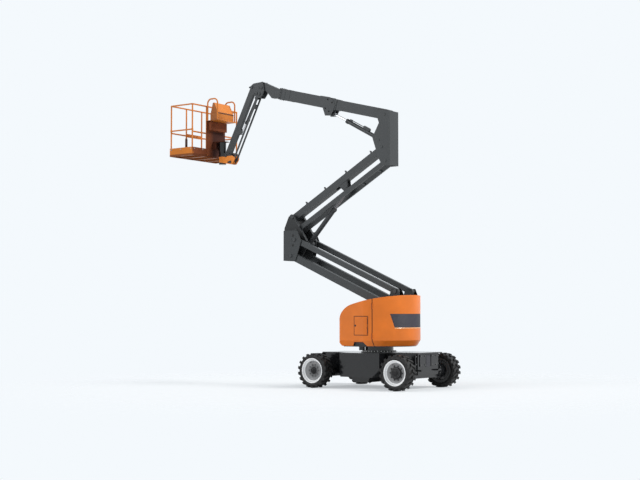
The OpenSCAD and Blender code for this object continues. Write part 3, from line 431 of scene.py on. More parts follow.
OWN_FINISH = {
    # a touch darker than the boom grey, painted shade; knee_paint darkens the inner plates further as painted
    # shade
    "knee_upright": knee_paint("knee_paint", shade(BOOM_GREY, 0.95)),
    "platform_base": platform_paint("platform_paint", PLATFORM_ORANGE, REAR_PANEL_X, CONSOLE_LOW.z),
    # the head's orange is a lighter copy of the platform's, painted light
    "platform_head": head_paint("head_paint", shade(PLATFORM_ORANGE, 1.3), shade(BOOM_GREY, 0.7),
                                HEAD_SPLIT),
    # console: a darker copy of the orange on the box and a lighter one on the shield above, painted shade and
    # painted light, with painted shade on its left side
    "control_console": head_paint("console_paint", shade(PLATFORM_ORANGE, 0.86),
                                  shade(PLATFORM_ORANGE, 1.08), SHIELD_SPLIT, SHADED_SIDE_Y),
    "riser_rod": chrome("riser_rod_steel", (0.2, 0.2, 0.21), 0.3),
}
for cover in ("tail_cover", "side_cover_left", "side_cover_right", "control_door"):
    OWN_FINISH[cover] = hood_paint("hood_paint_" + cover, ORANGE, SEAM_X, *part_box("control_door"))
for corner in ("fl", "fr", "rl", "rr"):
    OWN_FINISH["rim_" + corner] = wheel_paint("rim_paint_" + corner, hub_of(corner), HUB_RADIUS[corner[0]])
for name, obj in nodes.items():
    obj.data.materials.clear()
    obj.data.materials.append(OWN_FINISH.get(name) or FINISH[slot_of[name]])


# pieces made in mesh code

SHARP_ANGLE = math.radians(32)
BEVEL_ANGLE = math.radians(50)


def ring(count, radius=1.0, phase=0.0):
    """Evenly spaced spots on a circle, as (across, up)."""
    turns = [(k + phase) * math.tau / count for k in range(count)]
    return [(radius * math.cos(t), radius * math.sin(t)) for t in turns]


class Form:
    """A mesh under way, in metres, in the frame's axes."""

    def __init__(self):
        self.mesh = bmesh.new()

    def skin(self, rings):
        """Walls between rings of equal count, with a cap at each end."""
        rows = [[self.mesh.verts.new(p) for p in points] for points in rings]
        for low, high in zip(rows, rows[1:]):
            for i in range(len(low)):
                j = (i + 1) % len(low)
                self.mesh.faces.new((low[i], low[j], high[j], high[i]))
        self.mesh.faces.new(rows[0][::-1])
        self.mesh.faces.new(rows[-1])

    def turned(self, at, axis, steps, sides=24):
        """Rings about an axis, as (distance along it, radius)."""
        axis = Vector(axis).normalized()
        side = axis.orthogonal().normalized()
        other = axis.cross(side)
        self.skin([[Vector(at) + axis * along + (side * c + other * n) * radius for c, n in ring(sides)]
                   for along, radius in steps])

    def bolt(self, at, axis, across):
        """Washer and hexagon head."""
        r = across / 2
        washer = [(-0.001, 1.5 * r), (0.12 * across, 1.5 * r), (0.16 * across, 1.4 * r)]
        head = [(0.15 * across, 1.12 * r), (0.7 * across, 1.12 * r), (0.82 * across, 0.9 * r)]
        self.turned(at, axis, washer, 16)
        self.turned(at, axis, head, 6)

    def pin_head(self, at, axis, radius, rise=0.014):
        """Chamfered pin end with a turned groove."""
        self.turned(at, axis, [(-0.006, radius), (rise * 0.45, radius), (rise * 0.5, radius * 0.94),
                               (rise * 0.7, radius * 0.94), (rise, radius * 0.8)], 28)

    def swept(self, path, radius, sides=10):
        """Round bar along a path of points."""
        points = [Vector(p) for p in path]
        runs = [(b - a).normalized() for a, b in zip(points, points[1:])]
        turns = [runs[0]] + [(a + b).normalized() for a, b in zip(runs, runs[1:])] + [runs[-1]]
        side = turns[0].orthogonal().normalized()
        rings = []
        for point, ahead in zip(points, turns):
            side = (side - ahead * side.dot(ahead)).normalized()
            other = ahead.cross(side)
            rings.append([point + (side * c + other * n) * radius for c, n in ring(sides)])
        self.skin(rings)

    def plate(self, outline, place, y0, y1):
        """Flat plate between two y values, its outline as (along, up) in a local place."""
        self.skin([[place(a, y, u) for a, u in outline] for y in (y0, y1)])

    def block(self, place, a0, a1, y0, y1, u0, u1):
        self.plate([(a0, u0), (a1, u0), (a1, u1), (a0, u1)], place, y0, y1)

    def put(self, name, body, slot, finish, round_off=0.0):
        """Ends the mesh as a named piece on a body."""
        bmesh.ops.recalc_face_normals(self.mesh, faces=self.mesh.faces)
        mesh = bpy.data.meshes.new(name)
        self.mesh.to_mesh(mesh)
        self.mesh.free()
        mesh.shade_smooth()
        mesh.set_sharp_from_angle(angle=SHARP_ANGLE)
        piece = bpy.data.objects.new(name, mesh)
        bpy.context.scene.collection.objects.link(piece)
        mesh.materials.append(finish)
        if round_off:
            soften(piece, round_off)
        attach(piece, body)


def soften(piece, width):
    """Rounds the sharp edges of a piece."""
    bevel = piece.modifiers.new("rounded_edges", "BEVEL")
    bevel.width = width
    bevel.segments = 2
    bevel.limit_method = "ANGLE"
    bevel.angle_limit = BEVEL_ANGLE
    bevel.harden_normals = True


def level(a, y, u):
    return Vector((a, y, u))


def local(pin, degrees):
    """Place of (along, across, up) on an arm that leaves a pin at a slope."""
    start = Vector((pin[0], 0.0, pin[1]))
    ahead = Vector((math.cos(math.radians(degrees)), 0.0, math.sin(math.radians(degrees))))
    above = Vector((-ahead.z, 0.0, ahead.x))
    return lambda a, y, u: start + ahead * a + above * u + Vector((0.0, y, 0.0))


def pin_of(joint):
    return joints[joint]["pos_m"][0], joints[joint]["pos_m"][2]


def moved(point, start, end):
    return point[0] + end[0] - start[0], point[1] + end[1] - start[1]


def slope(start, end):
    return math.degrees(math.atan2(end[1] - start[1], end[0] - start[0]))


# pins, as (x, z) at rest

ARM_REAR, ARM_KNEE = pin_of("riser_lift"), pin_of("knee_pivot")
TIE_REAR = pin_of("tension_pivot")
TIE_KNEE = moved(TIE_REAR, ARM_REAR, ARM_KNEE)
UPPER_LOW, UPPER_TOP = pin_of("upper_arm_pivot"), pin_of("mast_pivot")
BAR_LOW = pin_of("lower_bar_pivot")
RISER_EYE = pin_of("riser_barrel_pivot")
BOOM_EYE = pin_of("boom_barrel_pivot")
JIB_EYE = pin_of("jib_barrel_pivot")
BOOM_PIN, NECK_PIN = pin_of("boom_luff"), pin_of("level_pivot")
JIB_TOP, JIB_FOOT = pin_of("jib_luff"), pin_of("head_pivot")
LINK_TOP = pin_of("jib_link_pivot")
LINK_FOOT = moved(LINK_TOP, JIB_TOP, JIB_FOOT)
LUG_ROOT = (NECK_PIN[0] + 0.062, NECK_PIN[1] - 0.140)
BOOM_SLOPE = 14.5

upper_place = local(UPPER_TOP, slope(UPPER_TOP, UPPER_LOW))
boom_place = local(BOOM_PIN, BOOM_SLOPE)

# how far pin heads stand from the middle, and the pins' radii
OUTER_REACH, OUTER_RADIUS = 0.358, 0.042
INNER_REACH, INNER_RADIUS = 0.168, 0.040
JIB_REACH, JIB_RADIUS = 0.093, 0.034
ROD_PIN_RADIUS = 0.034
KEEPER_HALF, KEEPER_LENGTH, KEEPER_THICK = 0.018, 0.046, 0.008
KEEPER_BOLT_OUT, KEEPER_BOLT = 0.028, 0.016


def pin_set(name, body, pins, reach, radius, finish=FINISH["boom_paint"], slot="boom_paint"):
    """Pin heads on both sides, each with a keeper plate and its bolt."""
    form = Form()
    for x, z in pins:
        near, far = x + radius * 0.75, x + radius + KEEPER_LENGTH
        for side in SIDES:
            out = (0, side, 0)
            form.pin_head((x, side * reach, z), out, radius)
            form.block(level, near, far, side * (reach - KEEPER_THICK), side * reach,
                       z - KEEPER_HALF, z + KEEPER_HALF)
            form.bolt((x + radius + KEEPER_BOLT_OUT, side * reach, z), out, KEEPER_BOLT)
    form.put(name, body, slot, finish)


pin_set("tower_pins", "turntable", (ARM_REAR, TIE_REAR), OUTER_REACH, OUTER_RADIUS)
pin_set("knee_outer_pins", "knee", (ARM_KNEE, TIE_KNEE), OUTER_REACH, OUTER_RADIUS)
pin_set("knee_inner_pins", "knee", (UPPER_LOW, BAR_LOW, RISER_EYE), INNER_REACH, INNER_RADIUS)
pin_set("knuckle_pins", "knuckle", (NECK_PIN, JIB_TOP, LINK_TOP, LUG_ROOT), JIB_REACH, JIB_RADIUS)
pin_set("head_pins", "head", (JIB_FOOT, LINK_FOOT), JIB_REACH, JIB_RADIUS, DARK_STEEL, "chassis_paint")


# rounded edges of the CAD nodes, by width

ROUNDED = {
    0.010: ("chassis_frame", "front_axle", "rear_axle"),
    0.007: ("lower_arms", "tension_links", "upper_arm", "lower_bars", "boom_base", "jib_arm"),
    0.004: ("knee_upright", "mast_upright", "boom_inner", "jib_knuckle", "jib_links", "platform_head",
            "counterweight", "turntable_frame", "rotator", "knuckle_left", "knuckle_right"),
    0.0015: ("control_console", "platform_base"),
}
for width, names in ROUNDED.items():
    for name in names:
        soften(nodes[name], width)


# wheels

HUB_REACH = {"f": 0.092, "r": 0.104}
HUB_DRUM = {"f": 0.07, "r": 0.122}
NUT_RING = {"f": 0.118, "r": 0.142}
NUT_FINISH = {"f": DULL_NUTS, "r": DARK_STEEL}
NUT_COUNT, NUT_SIZE, NUT_FACE = 10, 0.024, 0.054
VALVE_RING, VALVE_TURN, VALVE_FACE = 0.19, math.radians(68), 0.06
VALVE_STEPS = [(-0.01, 0.006), (0.03, 0.006), (0.03, 0.0075), (0.044, 0.0075), (0.046, 0.005)]
DRUM_FACE = 0.053
CAP_BOLT_COUNT, CAP_BOLT_SIZE = 8, 0.011


def wheel_details(corner):
    """Nuts and valve on the dish, and the stepped cap of the hub with its bolts."""
    x, y, z = hub_of(corner)
    side = 1 if y > 0 else -1
    out = (0, side, 0)
    axle = corner[0]
    radius, drum = HUB_RADIUS[axle], HUB_DRUM[axle]
    nuts = Form()
    for across, up in ring(NUT_COUNT, NUT_RING[axle]):
        nuts.bolt((x + across, y + side * NUT_FACE, z + up), out, NUT_SIZE)
    across, up = math.cos(VALVE_TURN), math.sin(VALVE_TURN)
    foot = (x + VALVE_RING * across, y + side * VALVE_FACE, z + VALVE_RING * up)
    nuts.turned(foot, (-across * 0.5, side, -up * 0.5), VALVE_STEPS, 12)
    nuts.put("wheel_nuts_" + corner, "wheel_" + corner, "rim_paint", NUT_FINISH[axle])
    hub = Form()
    hub.turned((x, y + side * DRUM_FACE, z), out,
               [(-0.004, drum), (0.02, drum), (0.028, drum * 0.94), (0.032, radius * 0.99),
                (0.03, radius * 0.9)], 40)
    face = y + side * HUB_REACH[axle]
    hub.turned((x, face, z), out,
               [(-0.004, radius * 0.62), (0.008, radius * 0.6), (0.014, radius * 0.46),
                (0.015, radius * 0.2)], 32)
    for across, up in ring(CAP_BOLT_COUNT, radius * 0.76, 0.5):
        hub.bolt((x + across, face, z + up), out, CAP_BOLT_SIZE)
    hub.put("hub_cap_" + corner, "wheel_" + corner, "rim_paint", HUB_PAINT)


for corner in ("fl", "fr", "rl", "rr"):
    wheel_details(corner)


# chassis

SLEW_BOLT_COUNT, SLEW_BOLT_RING, SLEW_BOLT = 32, 0.346, 0.024
FLANGE_Y, FLANGE_RADIUS, FLANGE_THICK = 0.553, 0.165, 0.012
STUD_COUNT, STUD_RING, STUD = 12, 0.14, 0.02
FRAME_LOW, FRAME_HIGH = 0.318, 0.716
CORNER_X, CORNER_THICK, CORNER_STUD_Y = 1.155, 0.012, 0.427
CORNER_IN, CORNER_OUT = 0.394, 0.452
REAR_FACE, REAR_SINK = -1.19, 0.004
CENTRE_HALF, CENTRE_LOW, CENTRE_THICK = 0.085, 0.46, 0.010
REAR_PLATE_IN, REAR_PLATE_OUT, REAR_PLATE_THICK = 0.105, 0.33, 0.014
REAR_PLATE_LOW, REAR_PLATE_HIGH = 0.47, 0.712
REAR_STUD, REAR_STUD_EDGE = 0.022, 0.03
PANEL_Y, PANEL_SCREW = 0.7, 0.012


def slew_ring_bolts():
    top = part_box("slew_bearing")[0].z
    bolts = Form()
    for x, y in ring(SLEW_BOLT_COUNT, SLEW_BOLT_RING, 0.5):
        bolts.bolt((x, y, top), (0, 0, 1), SLEW_BOLT)
    bolts.put("slew_ring_bolts", "chassis", "chassis_paint", ZINC)


def axle_flanges():
    """Bolted flanges inside the rear wheels, corner plates and the plates on the rear face."""
    flanges = Form()
    studs = Form()
    axle_x, axle_z = pin_of("wheel_rl")
    for side in SIDES:
        inner = side * FLANGE_Y
        flanges.turned((axle_x, inner, axle_z), (0, -side, 0),
                       [(-0.03, FLANGE_RADIUS), (0.008, FLANGE_RADIUS),
                        (FLANGE_THICK, FLANGE_RADIUS - 0.007), (FLANGE_THICK, 0.1)], 36)
        for across, up in ring(STUD_COUNT, STUD_RING, 0.5):
            studs.bolt((axle_x + across, inner - side * FLANGE_THICK, axle_z + up), (0, -side, 0), STUD)
        for end in SIDES:
            x = end * CORNER_X
            flanges.block(level, x - CORNER_THICK, x + CORNER_THICK, side * CORNER_IN, side * CORNER_OUT,
                          FRAME_LOW, FRAME_HIGH)
            for z in (0.36, 0.52, 0.675):
                studs.bolt((x + end * CORNER_THICK, side * CORNER_STUD_Y, z), (end, 0, 0), STUD)
    plate_face = REAR_FACE - REAR_PLATE_THICK
    for side in SIDES:
        flanges.block(level, plate_face, REAR_FACE + REAR_SINK, side * REAR_PLATE_IN, side * REAR_PLATE_OUT,
                      REAR_PLATE_LOW, REAR_PLATE_HIGH)
        for y in (REAR_PLATE_IN + REAR_STUD_EDGE, REAR_PLATE_OUT - REAR_STUD_EDGE):
            for z in (REAR_PLATE_LOW + REAR_STUD_EDGE, REAR_PLATE_HIGH - REAR_STUD_EDGE):
                studs.bolt((plate_face, side * y, z), (-1, 0, 0), REAR_STUD)
    flanges.put("axle_flanges", "chassis", "chassis_paint", FINISH["chassis_paint"], 0.003)
    studs.put("axle_studs", "chassis", "chassis_paint", DULL_NUTS)


def axle_centre_panel():
    centre = Form()
    centre.block(level, REAR_FACE - CENTRE_THICK, REAR_FACE + REAR_SINK, -CENTRE_HALF, CENTRE_HALF,
                 CENTRE_LOW, FRAME_HIGH)
    centre.put("axle_centre_panel", "chassis", "chassis_paint", AXLE_PANEL_PAINT, 0.003)


def body_panel_screws():
    screws = Form()
    for side in SIDES:
        for x in (-0.40, -0.13, 0.14, 0.42):
            for z in (0.45, 0.69):
                screws.bolt((x, side * PANEL_Y, z), (0, side, 0), PANEL_SCREW)
    screws.put("body_panel_screws", "chassis", "chassis_paint", DARK_STEEL)


slew_ring_bolts()
axle_centre_panel()
axle_flanges()
body_panel_screws()


# turntable hood

TAIL = -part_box("tail_cover")[0].x
HOOD_HALF, HOOD_FRONT, HOOD_CORNER = 0.85, 0.478, 0.11
ROOF_RADIUS, ROOF_PEAK, ROOF_TURN, ROOF_END = 7.0, 1.77, math.radians(14), 0.1222
ROOF_X, ROOF_Z = -ROOF_RADIUS * math.sin(ROOF_TURN), ROOF_PEAK - ROOF_RADIUS * math.cos(ROOF_TURN)
BROW_RADIUS, BROW_Z, BROW_START, BROW_TURN = 0.48, 1.27466, 75, 73
BROW_X = HOOD_FRONT - BROW_RADIUS
SKIRT_LOW, SKIRT_HIGH, SKIRT_IN = 0.88, 0.995, 0.07
VENT_LOW, VENT_HIGH = 1.26, 1.54
VENT_HALF_LOW, VENT_HALF_HIGH = 0.577 * TAIL, 0.668 * TAIL
SLAT_COUNT, SLAT_BACK, SLAT_FACE = 13, 0.006, 0.0012
SILL_RISE = 0.007
LATCH_X, LATCH_Z, LATCH_HALF, LATCH_WING = 0.026, 1.3, 0.012, 0.0045
LATCH_STEPS = [(0, 0.019), (0.011, 0.019), (0.014, 0.016), (0.014, 0.009), (0.012, 0.008)]
GASKET_HALF, GASKET_THICK, GASKET_DEPTH, GASKET_FOOT, GASKET_INNER = 0.02, 0.009, 0.0095, 0.035, 0.43
GASKET_RISE_STEPS, GASKET_ROOF_STEPS = 24, 10
SEAL_HALF, SEAL_GAP, SEAL_POST_END, SEAL_STEPS = 0.016, 0.0025, 0.015, 20
SEAL_SPAN_DEPTHS, SEAL_POST_DEPTHS = (0.009, 0.016), (0.0092, 0.0158)
BEAD_RADIUS, BEAD_DEPTH, BEAD_INSET, BEAD_GAP = 0.009, 0.0075, 0.991, 0.006


def round_tail(radius, y, z):
    return Vector((-math.sqrt(radius * radius - y * y), y, z))


def curved_strip(form, half, radius0, radius1, z0, z1, lean=0.0, count=40):
    """Strip round the tail between two radii and two heights, its upper edge leaning in."""
    rings = []
    for k in range(count + 1):
        y = -half + 2 * half * k / count
        rings.append([round_tail(radius0, y, z0), round_tail(radius1, y, z0),
                      round_tail(radius1 - lean, y, z1), round_tail(radius0, y, z1)])
    form.skin(rings)


def roof_height(x):
    return ROOF_Z + math.sqrt(ROOF_RADIUS ** 2 - (x - ROOF_X) ** 2)


def skirt_radius(z):
    """Radius of the tail at a height, drawn in towards its skirt."""
    return TAIL - SKIRT_IN * max(0.0, 1.0 - (z - SKIRT_LOW) / (SKIRT_HIGH - SKIRT_LOW))


def skin_y(x, inset=0.0):
    """Half width of the hood at x, shrunk by an inset."""
    if x < 0.0:
        return min(HOOD_HALF - inset, math.sqrt((TAIL - inset) ** 2 - x * x))
    bend = HOOD_FRONT - HOOD_CORNER
    if x < bend:
        return HOOD_HALF - inset
    return HOOD_HALF - HOOD_CORNER + math.sqrt(max((HOOD_CORNER - inset) ** 2 - (x - bend) ** 2, 0.0))


def vent_details():
    """Slats across the vent, and the sill below them in a pale colour that paints a highlight."""
    slats = Form()
    for k in range(SLAT_COUNT):
        share = (k + 0.5) / SLAT_COUNT
        z = VENT_LOW + (VENT_HIGH - VENT_LOW) * share
        half = VENT_HALF_LOW + (VENT_HALF_HIGH - VENT_HALF_LOW) * share - 0.012
        curved_strip(slats, half, TAIL - SLAT_BACK, TAIL - SLAT_FACE, z - 0.006, z + 0.004, 0.003)
    slats.put("vent_slats", "turntable", "vent", FINISH["vent"])
    sill = Form()
    curved_strip(sill, VENT_HALF_LOW + 0.004, TAIL - SLAT_BACK, TAIL + SILL_RISE,
                 VENT_LOW - 0.016, VENT_LOW - 0.001, 0.009)
    sill.put("vent_sill", "turntable", "orange_cover", SILL_PAINTED_HIGHLIGHT)


def door_latch():
    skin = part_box("side_cover_left")[1].y
    latch = Form()
    latch.turned((LATCH_X, skin - 0.006, LATCH_Z), (0, 1, 0), LATCH_STEPS, 24)
    latch.block(level, LATCH_X - LATCH_HALF, LATCH_X + LATCH_HALF, skin, skin + 0.015,
                LATCH_Z - LATCH_WING, LATCH_Z + LATCH_WING)
    latch.put("door_latch", "door", "vent", BLACK)


def seam_gaskets():
    """Dark backing behind the seams between the tail cover and the side covers."""
    roof = roof_height(SEAM_X) - GASKET_DEPTH
    foot = SKIRT_LOW + GASKET_FOOT
    x0, x1 = SEAM_X - GASKET_HALF, SEAM_X + GASKET_HALF
    path = []
    for k in range(GASKET_RISE_STEPS + 1):
        z = foot + (roof - 0.004 - foot) * k / GASKET_RISE_STEPS
        y = math.sqrt((skirt_radius(z) - GASKET_DEPTH) ** 2 - SEAM_X ** 2)
        path.append((y, z, -GASKET_THICK, 0.0))
    shoulder = path[-1][0]
    path.append((shoulder, roof, -GASKET_THICK, -GASKET_THICK))
    for k in range(1, GASKET_ROOF_STEPS + 1):
        y = shoulder - (shoulder - GASKET_INNER) * k / GASKET_ROOF_STEPS
        path.append((y, roof, 0.0, -GASKET_THICK))
    gasket = Form()
    for side in SIDES:
        gasket.skin([[Vector((x0, side * y, z)), Vector((x1, side * y, z)),
                      Vector((x1, side * (y + dy), z + dz)), Vector((x0, side * (y + dy), z + dz))]
                     for y, z, dy, dz in path])
    gasket.put("seam_gaskets", "turntable", "vent", SEAL_RUBBER)


def door_seal():
    """Flat seal behind the gap round the control door."""
    door_low, door_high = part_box("control_door")
    x0, x1 = joints["door_hinge"]["pos_m"][0], door_high.x + SEAL_GAP
    z0, z1 = door_low.z - SEAL_GAP, door_high.z + SEAL_GAP
    seal = Form()
    for z in (z0, z1):
        low, high = z - SEAL_HALF, z + SEAL_HALF
        rings = []
        for k in range(SEAL_STEPS + 1):
            x = x0 - SEAL_HALF + (x1 - x0 + 2 * SEAL_HALF) * k / SEAL_STEPS
            outer, inner = (skin_y(x, depth) for depth in SEAL_SPAN_DEPTHS)
            rings.append([Vector((x, outer, low)), Vector((x, outer, high)),
                          Vector((x, inner, high)), Vector((x, inner, low))])
        seal.skin(rings)
    outer, inner = SEAL_POST_DEPTHS
    for x in (x0, x1):
        near, far = x - SEAL_HALF, x + SEAL_HALF
        corners = [(near, outer), (far, outer), (far, inner), (near, inner)]
        seal.skin([[Vector((a, skin_y(a, depth), z)) for a, depth in corners]
                   for z in (z0 - SEAL_POST_END, z1 + SEAL_POST_END)])
    seal.put("door_seal", "cover_left", "vent", SEAL_RUBBER)


def tail_rim_bead():
    """Rolled edge where the tail cover meets its roof."""
    start = math.acos(SEAM_X / TAIL) + BEAD_GAP
    steps = 60
    path = []
    for k in range(steps + 1):
        t = start + (math.tau - 2 * start) * k / steps
        x = TAIL * math.cos(t) * BEAD_INSET
        path.append((x, TAIL * math.sin(t) * BEAD_INSET, roof_height(x) - BEAD_DEPTH))
    bead = Form()
    bead.swept(path, BEAD_RADIUS, 12)
    bead.put("tail_rim_bead", "turntable", "orange_cover", FINISH["orange_cover"])


def cover_rim_bead(side, name):
    """Rolled edge along a side cover's roof and down its brow."""
    start = SEAM_X + 0.008
    roof_steps, brow_steps = 20, 30
    radius = BROW_RADIUS - BEAD_DEPTH
    path = []
    for k in range(roof_steps + 1):
        x = start + (ROOF_END - start) * k / roof_steps
        path.append((x, roof_height(x) - BEAD_DEPTH))
    for k in range(1, brow_steps + 1):
        t = math.radians(BROW_START - BROW_TURN * k / brow_steps)
        path.append((BROW_X + radius * math.cos(t), BROW_Z + radius * math.sin(t)))
    rim = Form()
    rim.swept([(x, side * skin_y(x, BEAD_DEPTH), z) for x, z in path], BEAD_RADIUS, 12)
    rim.put("cover_rim_bead_" + name, "cover_" + name, "orange_cover", FINISH["orange_cover"])


vent_details()
door_latch()
seam_gaskets()
door_seal()
tail_rim_bead()
cover_rim_bead(1, "left")
cover_rim_bead(-1, "right")


# risers

CLIP_STARTS = (0.33, 1.08, 1.72, 2.3)
CLIP_OUTLINE = [(-0.024, 0.07), (0.024, 0.07), (0.024, 0.078), (0.010, 0.082), (0.010, 0.125),
                (-0.006, 0.132), (-0.006, 0.082), (-0.024, 0.078)]
CLIP_IN, CLIP_OUT, CLIP_BOLT = 0.02, 0.08, 0.012
CHEEK_OUTLINE = [(1.135, -0.053), (1.395, -0.053), (1.34, -0.15), (1.315, -0.258), (1.228, -0.268),
                 (1.17, -0.12)]
CHEEK_IN, CHEEK_OUT = 0.066, 0.078
CHEEK_PIN = (1.265, -0.214)
RIB_IN, RIB_OUT, RIB_THICK = 0.162, 0.214, 0.014
PAD_X, PAD_HALF_X, PAD_HALF_Z, PAD_HEIGHTS = 2.021, 0.025, 0.026, (3.247, 3.034)
PAD_BACK, PAD_FACE, PAD_BOLT = 0.351, 0.356, 0.022


def upper_hose_clips():
    above = upper_place(0, 0, 1) - upper_place(0, 0, 0)
    clips = Form()
    for start in CLIP_STARTS:
        clips.plate([(start + a, u) for a, u in CLIP_OUTLINE], upper_place, CLIP_IN, CLIP_OUT)
        clips.bolt(upper_place(start + 0.018, (CLIP_IN + CLIP_OUT) / 2, 0.078), above, CLIP_BOLT)
    clips.put("upper_hose_clips", "upper_arm", "boom_paint", FINISH["boom_paint"], 0.002)


def riser_rod_cheeks():
    """Plates under the upper arm that hold the riser rod's eye."""
    along, up = CHEEK_PIN
    plates = Form()
    for side in SIDES:
        plates.plate(CHEEK_OUTLINE, upper_place, side * CHEEK_IN, side * CHEEK_OUT)
        plates.pin_head(upper_place(along, side * CHEEK_OUT, up), (0, side, 0), ROD_PIN_RADIUS)
    plates.put("riser_rod_cheeks", "upper_arm", "boom_paint", FINISH["boom_paint"], 0.003)


def knee_edge_ribs():
    start = (UPPER_LOW[0] - 0.05, UPPER_LOW[1] + 0.052)
    end = (RISER_EYE[0] - 0.078, RISER_EYE[1] + 0.06)
    edge = local(start, slope(start, end))
    ribs = Form()
    for side in SIDES:
        ribs.block(edge, 0.0, math.dist(start, end), side * RIB_IN, side * RIB_OUT, 0.0, RIB_THICK)
    ribs.put("knee_edge_ribs", "knee", "boom_paint", FINISH["boom_paint"], 0.002)


def knee_stop_pads():
    pads = Form()
    for side in SIDES:
        for z in PAD_HEIGHTS:
            pads.block(level, PAD_X - PAD_HALF_X, PAD_X + PAD_HALF_X, side * PAD_BACK, side * PAD_FACE,
                       z - PAD_HALF_Z, z + PAD_HALF_Z)
            pads.bolt((PAD_X, side * PAD_FACE, z), (0, side, 0), PAD_BOLT)
    pads.put("knee_stop_pads", "knee", "boom_paint", BLACK, 0.002)


upper_hose_clips()
riser_rod_cheeks()
knee_edge_ribs()
knee_stop_pads()


# main boom, as (along, up) from the boom pin

SIDE_BOLTS = ((1.43, 0.03), (1.47, -0.17), (1.56, 0.08), (1.58, -0.12))
SIDE_BOLT_Y, SIDE_BOLT = 0.112, 0.022
MOUTH, MOUTH_HALF_Y, MOUTH_HALF_U, MOUTH_BOLT = 2.9, 0.110, 0.127, 0.014
STRAPS, STRAP_HALF_Y, STRAP_HALF_U = ((2.62, 2.66), (2.76, 2.80)), 0.108, 0.125
ROD_EYE, ROD_EYE_Y = (1.372, -0.206), 0.058


def boom_bolts():
    """Bolts of the rod bracket, and of the wear pads round the boom's mouth."""
    above = boom_place(0, 0, 1) - boom_place(0, 0, 0)
    bolts = Form()
    for side in SIDES:
        for a, u in SIDE_BOLTS:
            bolts.bolt(boom_place(a, side * SIDE_BOLT_Y, u), (0, side, 0), SIDE_BOLT)
        for u in (-0.085, -0.03, 0.03, 0.085):
            bolts.bolt(boom_place(MOUTH, side * MOUTH_HALF_Y, u), (0, side, 0), MOUTH_BOLT)
    for y in (-0.06, 0.0, 0.06):
        bolts.bolt(boom_place(MOUTH, y, MOUTH_HALF_U), above, MOUTH_BOLT)
        bolts.bolt(boom_place(MOUTH, y, -MOUTH_HALF_U), -above, MOUTH_BOLT)
    bolts.put("boom_bolts", "boom", "boom_paint", HUB_PAINT)


def boom_straps():
    section = [(-STRAP_HALF_Y, -STRAP_HALF_U), (STRAP_HALF_Y, -STRAP_HALF_U),
               (STRAP_HALF_Y, STRAP_HALF_U), (-STRAP_HALF_Y, STRAP_HALF_U)]
    straps = Form()
    for ends in STRAPS:
        straps.skin([[boom_place(a, y, u) for y, u in section] for a in ends])
    straps.put("boom_straps", "boom", "boom_paint", FINISH["boom_paint"], 0.002)


def boom_rod_pin():
    along, up = ROD_EYE
    pin = Form()
    for side in SIDES:
        pin.pin_head(boom_place(along, side * ROD_EYE_Y, up), (0, side, 0), ROD_PIN_RADIUS)
    pin.put("boom_rod_pin", "boom", "boom_paint", DARK_STEEL)


boom_bolts()
boom_straps()
boom_rod_pin()


# cylinders, with the rods' eyes at rest as (x, z)

RISER_ROD_EYE, BOOM_ROD_EYE, JIB_ROD_EYE = (0.7925, 4.1991), (1.1413, 5.8792), (3.7537, 5.6973)
GLAND = ((-0.004, 1.17), (0.012, 1.17), (0.012, 1.22), (0.036, 1.22), (0.042, 1.12), (0.058, 1.06),
         (0.058, 0.72))
PORT_HALF, PORT_HIGH, PORT_LOW = 0.034, 0.052, 0.03
FAR_PORT_HALF, FAR_PORT_START, FAR_PORT_END = 0.024, 0.13, 0.075
PIPE_RADIUS, PIPE_RISE = 0.0085, 0.02


def cylinder_dress(body, eye, rod_eye, radius, share, port=None, up=1):
    """End gland on a barrel, and with a port block the pipe that runs from it along the barrel."""
    place = local(eye, slope(eye, rod_eye))
    ahead = place(1, 0, 0) - place(0, 0, 0)
    length = share * math.dist(eye, rod_eye)
    gland = [(along, radius * factor) for along, factor in GLAND]
    dress = Form()
    dress.turned(place(length - 0.05, 0, 0), ahead, gland, 40)
    if port:
        start, end = port
        foot, top, brow = up * radius * 0.8, up * (radius + PORT_HIGH), up * (radius + PORT_LOW)
        dress.plate([(start, foot), (end, foot), (end, top), (start + 0.03, top), (start, brow)], place,
                    -PORT_HALF, PORT_HALF)
        dress.block(place, length - FAR_PORT_START, length - FAR_PORT_END, -FAR_PORT_HALF, FAR_PORT_HALF,
                    foot, brow)
    dress.put(body + "_ports", body, "cylinder_paint", FINISH["cylinder_paint"], 0.003)
    if port:
        rise = up * (radius + PIPE_RISE)
        pipe = Form()
        pipe.swept([place(end - 0.01, 0, rise), place(length - 0.12, 0, rise)], PIPE_RADIUS)
        pipe.put(body + "_pipe", body, "cylinder_paint", DARK_STEEL)


cylinder_dress("riser_barrel", RISER_EYE, RISER_ROD_EYE, 0.052, 0.66)
cylinder_dress("boom_barrel", BOOM_EYE, BOOM_ROD_EYE, 0.044, 0.74, (0.40, 0.57))
cylinder_dress("jib_barrel", JIB_EYE, JIB_ROD_EYE, 0.027, 0.74, (0.14, 0.24), -1)


# platform

